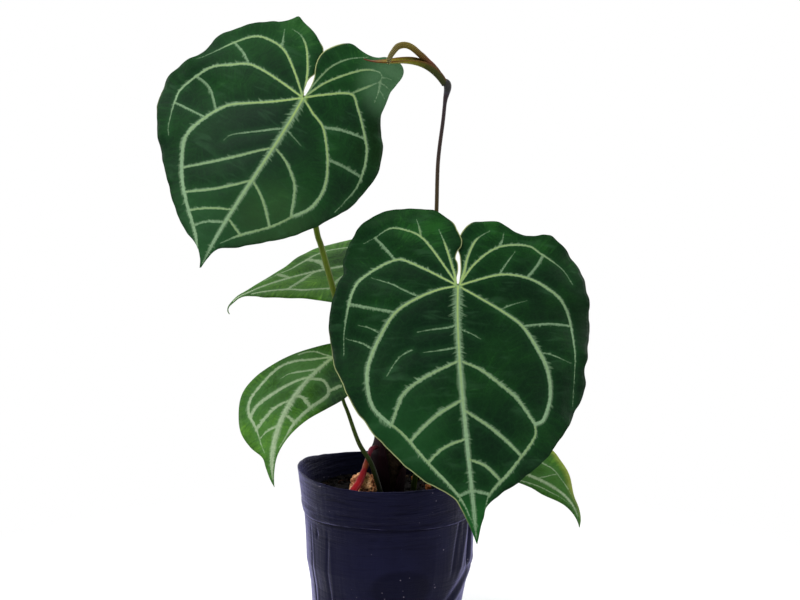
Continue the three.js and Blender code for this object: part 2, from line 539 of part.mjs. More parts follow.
// All the veins of a leaf joined in one net
function veinNet(leaf) {
  const face = new LeafFace(leaf);
  return toGeometry(leaf.veins.map((route) => vein(face, route)).reduce((net, next) => net.add(next)));
}

const seatOnStem = (angle) => [
  stem.x + stem.seatRing * Math.cos(radians(angle)),
  stem.y + stem.seatRing * Math.sin(radians(angle)),
  stem.top + clearance,
];

// Petiole: swells a little at its top, and its end stops just short of the underside of the blade
function petiole(leaf, { seat, foot, radius, route, arrive }) {
  const face = new LeafFace(leaf);
  const way = vec(...arrive).normalize();
  const { up, base } = face.frame(0);
  const tilt = Math.sin(way.angleTo(up));
  const fold = Math.sin(radians(Math.max(leaf.bend.left.fold, leaf.bend.right.fold)));
  const gap = bladeThickness / 2 + clearance + 1.2 * radius[1] * (tilt + Math.max(fold, 0));
  const end = base.clone().addScaledVector(up, -gap);
  const before = end.clone().addScaledVector(way, -5);
  const points = [foot ?? seatOnStem(seat), ...route, before.toArray(), end.toArray()];
  const radiusAt = (u) => {
    const knee = 1 + 0.2 * THREE.MathUtils.smoothstep(u, 0.93, 0.97);
    return THREE.MathUtils.lerp(...radius, u) * knee;
  };
  return stalk(points, radiusAt, stalkSides, petioleSteps);
}

// Point where the peduncle, the spathe and the spadix meet, and the way the bloom leaves it
function bloomNode() {
  const { along, up, base } = new LeafFace(spathe).frame(0);
  return { along, centre: base.addScaledVector(up, spathe.tubeRadius) };
}

function peduncleStalk() {
  const { along, centre } = bloomNode();
  const end = centre.clone().addScaledVector(along, -clearance);
  const before = end.clone().addScaledVector(along, -2);
  const points = [seatOnStem(peduncle.seat), ...peduncle.route, before.toArray(), end.toArray()];
  const radiusAt = (u) => {
    const plain = THREE.MathUtils.lerp(...peduncle.radius, u);
    const swell = THREE.MathUtils.smoothstep(u, 1 - peduncle.nodeShare, 1);
    return THREE.MathUtils.lerp(plain, peduncle.nodeRadius, swell);
  };
  return stalk(points, radiusAt, stalkSides, peduncle.steps);
}

// Spadix: a thin foot inside the sheath, then a finely knobbed rod with a round end
function spadixRod() {
  const { along, centre } = bloomNode();
  const start = centre.clone().addScaledVector(along, clearance);
  const points = [start.toArray(), start.clone().addScaledVector(along, 3).toArray(), ...spadix.route];
  const radiusAt = (u, turn) => {
    const grown = THREE.MathUtils.smoothstep(u, ...spadix.swells);
    const body = THREE.MathUtils.lerp(spadix.stalkRadius, spadix.radius, grown);
    const knobs = spadix.knob * grown * Math.cos(5 * turn + Math.PI * Math.round(u * spadix.steps));
    const past = Math.max(0, u - spadix.roundFrom) / (1 - spadix.roundFrom);
    const round = Math.sqrt(Math.max(0.12, 1 - past ** 2));
    return (body + knobs) * round;
  };
  return stalk(points, radiusAt, spadix.sides, spadix.steps);
}

// Outer radius of the bag at a height, drawn in on the left and full on the right
function bagRadius(angle, z) {
  const swell = Math.sin(Math.PI * THREE.MathUtils.clamp((z - 20) / (pot.height - 20), 0, 1));
  const slack = pot.slack * Math.cos(5 * angle + 1) * Math.sin(Math.PI * z / pot.height);
  return alongProfile(pot.profile, z) + pot.bulge * swell * Math.cos(angle) + slack;
}

// Height of a point near the rim, pulled up on the left
function rimHeight(angle, z) {
  const near = THREE.MathUtils.smoothstep(z, pot.height - 1.4 * pot.cuffDepth, pot.height);
  return z + pot.rimLift * Math.max(0, -Math.cos(angle)) ** 3 * near;
}

function bagPot() {
  const { height, wall, cuffDepth, cuffProud, profile } = pot;
  const hem = height - cuffDepth;
  const midCuff = (hem + height) / 2;
  const heights = profile.map(([z]) => z).slice(1, -2);
  const ring = (offset, z) => (angle) => [bagRadius(angle, z) + offset, rimHeight(angle, z)];
  return turned([
    () => [0, 0],
    ...[0, wall, ...heights, hem - cuffProud].map((z) => ring(0, z)),
    ...[hem, midCuff, height - wall].map((z) => ring(cuffProud, z)),
    ring(cuffProud / 2, height),
    ...[height - cuffProud, midCuff, hem, ...heights.reverse(), wall].map((z) => ring(-wall, z)),
    () => [0, wall],
  ], pot.sides);
}

// Top of the potting mix: a low mound with lumps
function mixHeight(angle, share) {
  const lumps = Math.cos(3 * angle + 5 * share) + Math.cos(7 * angle - 9 * share) * share;
  return mix.level + mix.crown * (1 - share ** 2) + mix.relief * lumps * share;
}

function chunkSolid({ at, size, turn = 0 }, detail, grow) {
  const lump = new THREE.IcosahedronGeometry(1, detail);
  const p = lump.attributes.position;
  for (let i = 0; i < p.count; i += 1) {
    const n = vec(p.getX(i), p.getY(i), p.getZ(i));
    const dents = 0.09 * Math.sin(4.1 * n.x + 2) * Math.cos(3.7 * n.y);
    const pits = 0.07 * Math.sin(6.3 * n.z + 3.1 * n.x);
    n.multiplyScalar(1 + dents + pits);
    p.setXYZ(i, n.x * (size[0] + grow), n.y * (size[1] + grow), n.z * (size[2] + grow));
  }
  lump.rotateZ(radians(turn));
  lump.translate(...at);
  return solid(lump);
}

// Upright plain hole in the mix
function hole(x, y, radius, foot) {
  const depth = pot.height - foot;
  const drill = new THREE.CylinderGeometry(radius, radius, depth, mix.holeSides);
  drill.rotateX(Math.PI / 2);
  drill.translate(x, y, foot + depth / 2);
  return toManifold(solid(drill));
}

function pottingMix() {
  const floor = pot.wall + clearance;
  const wallAt = (angle, z) => bagRadius(angle, z) - pot.wall - mix.wallGap;
  const heights = pot.profile.map(([z]) => z).slice(1, -2);
  const body = turned([
    () => [0, floor],
    ...[floor, ...heights].map((z) => (angle) => [wallAt(angle, z), z]),
    ...mix.shares.map((share) => (angle) => [wallAt(angle, mix.level) * share, mixHeight(angle, share)]),
    () => [0, mix.level + mix.crown],
  ], pot.sides);
  const footHole = (foot, next, radius) => {
    const [x, y] = [0, 1].map((k) => (foot[k] + next[k]) / 2);
    return hole(x, y, radius + mix.holeGap, foot[2] - clearance);
  };
  const [left, right] = [petioles.lower_left_leaf, petioles.lower_right_leaf];
  const cuts = [
    hole(stem.x, stem.y, sheath.profile[1][1] + clearance, stem.foot - clearance),
    footHole(left.foot, left.route[0], left.radius[0]),
    footHole(right.foot, right.route[0], right.radius[0]),
    footHole(root.route.at(-1), root.route.at(-2), root.radiusEnd),
    toManifold(chunkSolid(chunk, 2, clearance)),
    ...chips.map((chip) => toManifold(chunkSolid(chip, 1, clearance))),
  ];
  return toGeometry(cuts.reduce((rest, cut) => rest.subtract(cut), toManifold(body)));
}

function stemColumn() {
  const outline = [[0, stem.foot], ...stem.profile.map(([z, r]) => [r, z]), [0, stem.top]];
  const column = new THREE.LatheGeometry(outline.map((point) => new THREE.Vector2(...point)), stem.sides);
  column.rotateX(Math.PI / 2);
  column.translate(stem.x, stem.y, 0);
  return solid(column);
}

// Sheath: a pointed scale leaf that wraps part of the stem
function stemSheath(facing, tip) {
  const rows = 7;
  const columns = 5;
  const upper = [];
  const lower = [];
  for (let i = 0; i <= rows; i += 1) {
    const share = i / rows;
    const z = THREE.MathUtils.lerp(stem.foot, tip, share);
    const span = radians(sheath.halfSpan) * Math.sqrt(Math.max(0, 1 - share ** 2));
    const outer = alongProfile(sheath.profile, z);
    const ring = (radius) => Array.from({ length: columns + 1 }, (unused, j) => {
      const angle = radians(facing) + span * (2 * j / columns - 1);
      return [stem.x + radius * Math.cos(angle), stem.y + radius * Math.sin(angle), z];
    });
    upper.push(ring(outer));
    lower.push(ring(outer - sheath.thickness));
  }
  return plate(rows, columns, upper, lower);
}

function aerialRoot() {
  const angle = radians(root.startAngle);
  const start = alongProfile(sheath.profile, root.startHeight) + 2 * clearance;
  const away = (distance) => [
    stem.x + distance * Math.cos(angle), stem.y + distance * Math.sin(angle), root.startHeight];
  const points = [away(start), away(start + 2.5), ...root.route];
  const radiusAt = (u) => THREE.MathUtils.lerp(root.radiusStart, root.radiusEnd, Math.min(1, 1.6 * u));
  return stalk(points, radiusAt, stalkSides, root.steps);
}

const plant = new THREE.Group();

function add(name, geometry, colour, roughness) {
  const material = new THREE.MeshStandardMaterial({ color: colour, roughness, metalness: 0 });
  const mesh = new THREE.Mesh(geometry, material);
  mesh.name = name;
  plant.add(mesh);
}

add('nursery_bag_pot', bagPot(), colours.film, 0.5);
add('potting_mix', pottingMix(), colours.mix, 0.95);
add('clay_chunk', chunkSolid(chunk, 2, 0), colours.clay, 0.95);
chips.forEach((chip, i) => add(`bark_chip_${i + 1}`, chunkSolid(chip, 1, 0), colours.bark, 0.9));
add('stem', stemColumn(), colours.stem, 0.8);
sheath.facing.forEach((facing, i) => {
  add(`stem_sheath_${i + 1}`, stemSheath(facing, sheath.tips[i]), colours.sheath, 0.7);
});
add('aerial_root', aerialRoot(), colours.root, 0.5);

const young = ['back_leaf', 'lower_left_leaf', 'lower_right_leaf'];
for (const [name, leaf] of Object.entries(leaves)) {
  add(`${name}_blade`, blade(leaf), young.includes(name) ? colours.youngLeaf : colours.leaf, 0.45);
  add(`${name}_veins`, veinNet(leaf), colours.vein, 0.5);
  add(`${name}_petiole`, petiole(leaf, petioles[name]), colours.petiole, 0.5);
}

add('peduncle', peduncleStalk(), colours.peduncle, 0.5);
add('spathe', blade(spathe), colours.spathe, 0.5);
add('spadix', spadixRod(), colours.spadix, 0.7);

export default plant;
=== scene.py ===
# Potted anthurium: the finished look of the plant, its pot and its potting mix, built round the CAD frame.
# Plan values are in millimetres, as the part was drawn, and meshes are in metres.

import math
import random
from contextlib import contextmanager
from functools import partial

import bpy
import numpy as np
from mathutils import Matrix, Vector, noise
from mathutils.geometry import delaunay_2d_cdt


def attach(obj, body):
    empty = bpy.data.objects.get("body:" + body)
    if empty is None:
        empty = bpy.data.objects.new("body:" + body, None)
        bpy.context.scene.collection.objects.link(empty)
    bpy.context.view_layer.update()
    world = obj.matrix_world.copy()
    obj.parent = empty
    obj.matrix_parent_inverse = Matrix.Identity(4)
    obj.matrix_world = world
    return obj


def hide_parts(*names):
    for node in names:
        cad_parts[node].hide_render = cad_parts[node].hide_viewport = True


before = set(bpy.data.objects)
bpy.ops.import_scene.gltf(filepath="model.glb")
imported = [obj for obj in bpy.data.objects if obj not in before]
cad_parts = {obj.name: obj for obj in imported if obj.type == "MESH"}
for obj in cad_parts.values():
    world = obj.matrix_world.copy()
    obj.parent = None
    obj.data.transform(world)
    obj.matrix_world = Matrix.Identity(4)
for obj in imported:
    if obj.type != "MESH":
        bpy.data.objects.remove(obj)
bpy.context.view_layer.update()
mm = 0.001
print("frame loaded")

nodeChoices = {                               # what the words after a node's kind set
    "Math": ["operation"], "VectorMath": ["operation"], "MapRange": ["interpolation_type"],
    "Mix": ["data_type", "blend_type"], "TexVoronoi": ["feature"], "Attribute": ["attribute_name"],
    "UVMap": ["uv_map"],
}


def colour(code):
    # sRGB hex to the linear values that sockets take
    channels = [int(code[i:i + 2], 16) / 255 for i in (1, 3, 5)]
    return (*[c / 12.92 if c <= 0.04045 else ((c + 0.055) / 1.055) ** 2.4 for c in channels], 1)


def addNode(tree, kind, *values, out=0, stops=(), **named):
    # one node, with values, hex colours or links for its sockets in order or by name, and for a colour
    # ramp its stops; gives back the output that the next node reads
    kind, *words = kind.split()
    made = tree.nodes.new("ShaderNode" + kind)
    for choice, word in zip(nodeChoices.get(kind, []), words):
        setattr(made, choice, word)
    sockets = [socket for socket in made.inputs if socket.enabled]
    for socket, value in [*zip(sockets, values), *[(made.inputs[key], v) for key, v in named.items()]]:
        if isinstance(value, bpy.types.NodeSocket):
            tree.links.new(value, socket)
        else:
            socket.default_value = colour(value) if isinstance(value, str) else value
    for k, (place, code) in enumerate(stops):
        ramp = made.color_ramp.elements
        element = ramp[k] if k < len(ramp) else ramp.new(place)
        element.position, element.color = place, colour(code)
    return [socket for socket in made.outputs if socket.enabled][out]


def newMaterial(name, roughness, specular, ior=1.45, **more):
    made = bpy.data.materials.new(name)
    made.use_nodes = True
    shader = made.node_tree.nodes["Principled BSDF"].inputs
    for key, value in {"Roughness": roughness, "Specular IOR Level": specular, "IOR": ior, **more}.items():
        shader[key].default_value = value
    return made, partial(addNode, made.node_tree)


def linked(made, add, tint, rise=None, strength=0, depth=0, **others):
    # links the colour, the relief, with its depth in mm, and what else varies over the surface
    if rise is not None:
        others["Normal"] = add("Bump", Strength=strength, Distance=depth * mm, Height=rise)
    for key, socket in {"Base Color": tint, **others}.items():
        made.node_tree.links.new(socket, made.node_tree.nodes["Principled BSDF"].inputs[key])
    return made


def onlySelect(piece):
    bpy.ops.object.select_all(action="DESELECT")
    piece.select_set(True)
    bpy.context.view_layer.objects.active = piece


def primitive(kind, **settings):
    bpy.ops.object.select_all(action="DESELECT")
    getattr(bpy.ops.mesh, f"primitive_{kind}_add")(**settings)
    return bpy.context.object


@contextmanager
def editing(piece):
    # edit mode with the whole mesh selected
    onlySelect(piece)
    bpy.ops.object.mode_set(mode="EDIT")
    bpy.ops.mesh.select_all(action="SELECT")
    yield bpy.ops.mesh
    bpy.ops.object.mode_set(mode="OBJECT")


def faceOutwards(edit):
    edit.select_all(action="SELECT")
    edit.normals_make_consistent(inside=False)


def smoothed(piece, angle=None):
    onlySelect(piece)
    if angle:
        bpy.ops.object.shade_smooth_by_angle(angle=math.radians(angle))
    else:
        bpy.ops.object.shade_smooth()
    return piece


def walled(piece, thickness, offset, **settings):
    # gives a sheet its thickness, in mm
    wall = piece.modifiers.new("wall", "SOLIDIFY")
    for key, value in {"thickness": thickness * mm, "offset": offset, **settings}.items():
        setattr(wall, key, value)
    onlySelect(piece)
    bpy.ops.object.modifier_apply(modifier="wall")
    return piece


def finished(piece, name, slot, materials, *nodes):
    piece.name = piece.data.name = name
    piece.data.materials.clear()
    for material in materials:
        piece.data.materials.append(material)
    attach(piece, "root")
    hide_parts(*nodes)


def values(data, key, width=1, kind=float):
    found = np.empty(len(data) * width, kind)
    data.foreach_get(key, found)
    return found.reshape(-1, width) if width > 1 else found


def setVertices(piece, places):
    piece.data.vertices.foreach_set("co", np.asarray(places * mm).reshape(-1))
    piece.data.update()


def setAttribute(mesh, name, numbers):
    kind, key = ("FLOAT_VECTOR", "vector") if np.ndim(numbers) > 1 else ("FLOAT", "value")
    layer = mesh.attributes.new(name, kind, "POINT")
    layer.data.foreach_set(key, np.asarray(numbers, np.float32).reshape(-1))


def unit(v):
    return v / np.linalg.norm(v, axis=-1, keepdims=True)


def around(radius, angle, z, centre=(0, 0)):
    return np.stack([centre[0] + radius * np.cos(angle), centre[1] + radius * np.sin(angle), z], 1)


def noisy(points, *fractal):
    # noise at each point: plain, or fractal with the given roughness, lacunarity and octaves
    return np.array([noise.fractal(Vector(p), *fractal) if fractal else noise.noise(Vector(p))
                     for p in points])


def smoothLine(points, step):
    # even points along a smooth curve through the given ones, and how far along each lies
    p = np.array(points, float)
    p = np.vstack([2 * p[0] - p[1], p, 2 * p[-1] - p[-2]])
    t = np.linspace(0, 1, 24, endpoint=False)[:, None]
    spans = []
    for i in range(1, len(p) - 2):
        a, b, c, d = p[i - 1:i + 3]
        spans.append(b + 0.5 * ((c - a) * t + (2 * a - 5 * b + 4 * c - d) * t ** 2
                                + (3 * b - a - 3 * c + d) * t ** 3))
    fine = np.vstack([*spans, p[-2:-1]])
    gone = np.concatenate([[0], np.cumsum(np.linalg.norm(np.diff(fine, axis=0), axis=1))])
    at = np.linspace(0, gone[-1], max(3, round(gone[-1] / step) + 1))
    return np.stack([np.interp(at, gone, fine[:, k]) for k in range(p.shape[1])], 1), at


def nearestOn(line, co):
    return ((co[:, None] - line[None]) ** 2).sum(-1).argmin(1)


# Leaves. Each is drawn flat: the first number of a point is the distance from the midrib and the second
# the distance from the petiole towards the tip. A vein has its half width at both ends and its points,
# which are negative on the left half. bend gives fold, curl, curl at the tip and phase of the wave for
# each half. puff, scallop and frill are the swelling of the cells and the unevenness of the margin.

frontLeaf = {
    "name": "frontLeaf", "node": "front_leaf", "slot": "leaf", "onTop": "left",
    "length": 160, "halfWidth": 80, "veinShare": 0.9, "puff": 1, "scallop": 0.25, "frill": 0.6,
    "midrib": [(45.6, -55, 244.6), (43, -68, 205), (51, -90, 146), (54.4, -111, 97.2)],
    "across": (1, 0.05, 0), "bend": {"left": (4, 22, 22, 0.6), "right": (4, 22, 22, 2.4)}, "wave": (3, 58),
    "left": [(0.4, -1), (1, -3.5), (1.1, -7.2), (0.4, -12.7), (0.9, -18.7), (2.4, -22.7), (1.4, -27.9),
        (-0.7, -32.2), (-1, -37.4), (0.6, -42.1), (2.3, -45.9), (5.3, -52.3), (14.5, -60.4), (24, -63),
        (37.5, -63), (55.5, -58), (69, -42), (75, -22), (75.6, -6), (82.4, 15), (81, 43), (70.5, 70),
        (56, 91.5), (32, 118), (11.5, 132.5), (3.5, 149), (0, 160)],
    "right": [(0.4, -1), (0.6, -3.6), (0.9, -9.7), (0.8, -16.5), (0, -25), (-1, -28.5), (-1.2, -34),
        (-0.6, -41), (1.5, -46.8), (4.9, -51.9), (10.5, -55), (24, -56.5), (37, -50), (47, -49.2),
        (57, -52.5), (66, -49.5), (84.5, -28), (93, 10), (91.8, 32.5), (85.7, 55.5), (84, 71.5),
        (67.4, 95), (48, 114), (29, 126), (10, 136.8), (5, 145.6), (0, 160)],
    "veins": [
        (2, 0.8, (0, 0), (0, 53), (0, 100), (0, 156)),
        (2.4, 0.4, (0, 0), (-4.3, -16), (-9.5, -34), (-14, -46)),
        (1.7, 0.3, (0, 0), (-15.6, -26.6), (-25, -39.5), (-35, -44.8), (-45.3, -46), (-54.7, -38.6),
         (-62.2, -34)),
        (1, 0.3, (-25, -39.5), (-26.4, -47), (-28.5, -54)),
        (2, 0.4, (0, 0), (-30, -17.6), (-40, -20.1), (-54.7, -11), (-66.3, 3), (-72, 27), (-72.8, 43.6)),
        (0.8, 0.7, (-54.7, -38.6), (-48.2, -31), (-40.4, -20.3)),
        (2.1, 1, (0, 0), (-11.4, 3.4), (-24, 9.6), (-38.5, 19.5), (-49, 35), (-57, 52), (-58, 66),
         (-55, 77), (-46, 86.5)),
        (0.8, 0.7, (-68.6, 13.1), (-55, 15.9), (-38.5, 19.5)),
        (1.6, 0.9, (0, 53), (-18.5, 60.4), (-29.5, 66), (-36.3, 71.3), (-39.8, 77.5), (-42.4, 83),
         (-45, 88)),
        (1.3, 0.6, (-47.5, 85), (-38, 93.4), (-24.4, 111.3), (-8, 131.7), (-1, 148)),
        (1.6, 0.8, (0, 77), (-14.8, 84), (-25.2, 91), (-33.8, 98.2)),
        (1.2, 0.7, (0, 99.7), (-14, 103.8), (-24.4, 111.3)),
        (0.9, 0.7, (0, 129), (-8, 131.7)),
        (2.6, 0.4, (0, 0), (3.4, -12), (5, -24), (10, -39.4), (18.7, -48.4)),
        (1.7, 0.3, (0, 0), (10.8, -21), (25.3, -36), (44, -40.5), (54, -36), (69.6, -26.4), (78, -13.6)),
        (0.9, 0.3, (25.3, -36), (27.4, -43), (28, -48.5)),
        (0.8, 0.7, (55.5, -34.8), (51, -24), (44.3, -12.9)),
        (2, 0.1, (0, 0), (14, -7.4), (29, -13.4), (44.6, -13), (57.6, -7.6), (70, 2), (77.4, 22),
         (77.8, 52), (73.5, 82)),
        (0.8, 0.7, (77.4, 24), (61.7, 24.4), (41.8, 28.4)),
        (2.1, 1, (0, 0), (14.7, 8.8), (29.7, 18.5), (41.8, 28.4), (50.3, 43.7), (57, 60), (57.4, 76),
         (51, 90), (44.4, 93.4)),
        (1.6, 0.9, (0, 53), (12.8, 59.2), (23.7, 68), (34.8, 78), (44.4, 93.4)),
        (1.3, 0.6, (44.4, 93.4), (42.3, 101.8), (25, 119.4), (10.7, 131.7), (6, 142)),
        (1.6, 0.8, (0, 83.2), (12.5, 92), (23, 101), (32.4, 111)),
        (1.2, 0.7, (0, 111.6), (9.7, 116), (18, 124.6)),
        (0.9, 0.7, (0, 129), (10.6, 132.3)),
        (0.6, 0.2, (0, 29), (-5.4, 30.9), (-17.2, 32.1), (-25.5, 33.2)),
        (0.55, 0.2, (0, 44), (-3.4, 44.9), (-12.6, 45.9), (-21.9, 46.4)),
        (0.35, 0.2, (-28.5, 44.3), (-35.4, 47.3), (-39.8, 51.6), (-45.6, 59.3)),
        (0.5, 0.2, (0, 32), (3.4, 33.3), (8.5, 35.6), (14, 39)),
        (0.55, 0.25, (-23.9, 9.2), (-35.2, 3.7), (-40.7, 0.8), (-55.1, -4.8)),
        (0.5, 0.2, (26, -12.6), (30.7, -23.2), (36.1, -34.1)),
        (0.5, 0.2, (28.4, 16), (35, 11.7), (45.2, 6.6)),
        (0.45, 0.2, (-48.7, 32), (-55.7, 28.2), (-63, 26)),
        (0.5, 0.2, (-53.2, 42), (-60.8, 37.1), (-70.8, 33.5)),
        (0.5, 0.2, (53.3, 48.2), (60.9, 49.1), (73.9, 54.5)),
    ],
}
upperLeaf = {
    "name": "upperLeaf", "node": "upper_leaf", "slot": "leaf", "onTop": "right",
    "length": 135, "halfWidth": 75, "veinShare": 0.84, "puff": 0.9, "scallop": 0.2, "frill": 0.5,
    "midrib": [(-53, -20, 363.6), (-72, -31, 326), (-98, -50, 292), (-112, -68, 257)],
    "across": (0.86, -0.04, -0.5), "wave": (3, 52),
    "bend": {"left": (4, 22, 22, 1.2), "right": (6, 30, 30, 0.2)},
    "left": [(0.4, -1), (0.9, -3), (1.8, -5), (2.5, -10.1), (1.8, -15), (0.6, -18), (0.6, -24),
        (1.2, -31), (3.4, -37.4), (7.5, -40.6), (12.5, -44.3), (17.3, -46.6), (23.2, -49), (28, -51),
        (31, -47.8), (38.4, -42.9), (44, -40.8), (63, -30.5), (76.5, -17), (78.3, -3), (90.5, 12),
        (95, 29), (81, 56), (52, 86), (26.4, 110.7), (9, 122), (3, 129), (0, 137)],
    "right": [(0.4, -1), (0.8, -5.7), (0.8, -10.7), (0, -16.5), (-1.7, -20.7), (-2.9, -25.2),
        (-3.2, -30.7), (-2, -35.6), (0.4, -39.8), (3.4, -43.8), (7.3, -47.6), (12.7, -49.9),
        (26.7, -49.3), (35.6, -55), (44, -57.6), (50, -54.5), (51.8, -48), (49.6, -32), (53, -14),
        (67.5, 9), (66, 33), (56, 57.4), (40, 82.6), (16, 109.3), (4.4, 118.5), (1.6, 127), (0, 137)],
    "veins": [
        (1.9, 0.8, (0, 0), (0, 40), (0, 90), (0, 133)),
        (2.2, 0.5, (0, 0), (-4, -14), (-9, -25), (-14.5, -34), (-21, -39.4), (-28, -41)),
        (1.7, 0.4, (0, 0), (-12, -13), (-21.7, -22), (-28.8, -26.4), (-38, -28.3), (-49, -27.3),
         (-61, -18.4), (-74, -2), (-80, 4)),
        (0.9, 0.4, (-28.8, -26.4), (-30.8, -33), (-33, -39)),
        (0.8, 0.7, (-61, -18.4), (-51, -13), (-43, -6.5)),
        (1.9, 0.5, (0, 0), (-27, -5.4), (-43, -6.5), (-55.5, -0.7), (-65.6, 5.3), (-73.5, 15.6),
         (-79.4, 26.2), (-79, 35), (-70, 56.4), (-65, 63.4)),
        (0.8, 0.7, (-73.5, 15.6), (-60, 20.5), (-46.6, 33.9)),
        (0.8, 0.7, (-76.1, 40), (-63.8, 41), (-50, 42)),
        (2, 0.8, (0, 0), (-15, 10.7), (-26.8, 18), (-39.9, 25.9), (-46.5, 34), (-51.2, 45), (-53.7, 56.6),
         (-52, 65.5), (-41, 83.5), (-27.6, 99.4), (-13.6, 114), (-5, 127)),
        (1.4, 0.8, (0, 40), (-7.4, 47), (-18, 58), (-30.2, 69), (-44, 79.6)),
        (1.3, 0.8, (0, 66.3), (-8.2, 75), (-18.4, 84), (-33, 93.6)),
        (1.1, 0.7, (0, 90), (-13, 96), (-24, 103.2)),
        (0.9, 0.7, (0, 100), (-10, 105), (-16.4, 111.4)),
        (1.1, 0.4, (0, 0), (3.5, -18.6), (7.2, -29.6), (14.6, -39.7), (25, -47.6)),
        (1.5, 0.6, (0, 0), (7, -15), (15.2, -26.4), (25.5, -37.6), (33.2, -42), (38.3, -42), (40, -36.5)),
        (1.9, 0.5, (0, 0), (10.4, -8.6), (25.7, -19), (34, -13.6), (46.7, 0), (55, 10), (60, 26),
         (58, 40), (56, 51)),
        (1, 0.6, (25.7, -19), (32.4, -28), (39.4, -37)),
        (1.9, 1, (0, 0), (10.2, 5.9), (20, 10.5), (28.8, 20.3), (35, 29), (40, 38.7), (42, 49),
         (40.3, 60.6), (34, 70.8)),
        (0.8, 0.7, (20, 10.5), (32.6, 5.4), (48, 2)),
        (0.8, 0.7, (33.7, 26), (45.4, 23.8), (59, 22.4)),
        (1.4, 0.8, (0, 39), (10.3, 42.7), (19, 48.4), (25.7, 55.6), (33, 72)),
        (1.2, 0.6, (34.4, 70.4), (25, 86.2), (11.6, 102.8), (4, 114)),
        (1.3, 0.8, (0, 66), (9.6, 71.6), (17, 78), (25, 86.4)),
        (1, 0.7, (0, 96.4), (7, 100), (12.6, 102.6)),
        (0.7, 0.3, (0, 24.5), (-3.8, 26.9), (-18.4, 38), (-27.8, 45.3), (-30.2, 51.5)),
        (0.8, 0.2, (39.6, -37.5), (41.6, -31), (42.6, -23)),
        (0.5, 0.2, (39.5, -40.5), (43, -42.5), (46, -43)),
        (0.5, 0.2, (40.4, -36.5), (44, -37), (48, -36.5)),
        (0.4, 0.2, (41.4, -32), (44.5, -31), (47.5, -29)),
        (0.5, 0.2, (0, 24.6), (4, 25.6), (14.7, 28.8)),
    ],
}
backLeaf = {
    "name": "backLeaf", "node": "back_leaf", "slot": "young_leaf",
    "length": 128, "halfWidth": 48, "puff": 0.7, "scallop": 0, "frill": 0.2,
    "midrib": [(8, 37, 255), (-36, 31, 256), (-120, 19, 234), (-107, 12, 220.5)],
    "across": (0.08, -0.9, -0.34), "wave": (1.5, 44),
    "bend": {"left": (-6, 12, 12, 0), "right": (-4, 14, 14, 1)},
    "left": [(1, -5), (6, -16), (17, -22), (30, -18), (41, -4), (46.5, 14), (46.5, 30), (41, 41),
        (31, 50), (17.5, 62), (9, 74), (4.8, 86), (2.4, 98), (1.3, 112), (0.9, 122), (0, 128)],
    "right": [(1, -5), (5, -16), (14, -20), (26, -17), (40, -6), (50, 12), (53.5, 30), (51, 43.5),
        (39, 56), (28, 68), (19.5, 80), (11, 86), (3.4, 93), (1.3, 106), (0.9, 120), (0, 128)],
    "veins": [
        (1.5, 0.8, (0, 0), (0, 60), (0, 104)),
        (1.2, 0.6, (0, 0), (-12, 3), (-24, 12), (-30, 26), (-31, 36), (-26, 43.5), (-20.3, 48.4),
         (-16.6, 53), (-12.4, 58.5), (-9.6, 66), (-6.4, 76)),
        (1.8, 1.3, (0, 42), (-8.4, 41.8), (-15, 44), (-20.3, 48.4)),
        (1.4, 1, (0, 60.4), (-3.6, 62.9), (-9.6, 66)),
        (1.2, 0.7, (0, 0), (14, 4), (27, 16), (33.5, 32), (32.5, 42.3), (27, 55), (18.3, 64.4),
         (11.6, 75.8), (5.4, 86.5)),
        (1.4, 1, (0, 45), (3.9, 50.4), (11.2, 56.2), (18.3, 64.4)),
        (1, 0.7, (0, 24), (9, 27), (20, 36), (32.5, 42.3)),
    ],
}
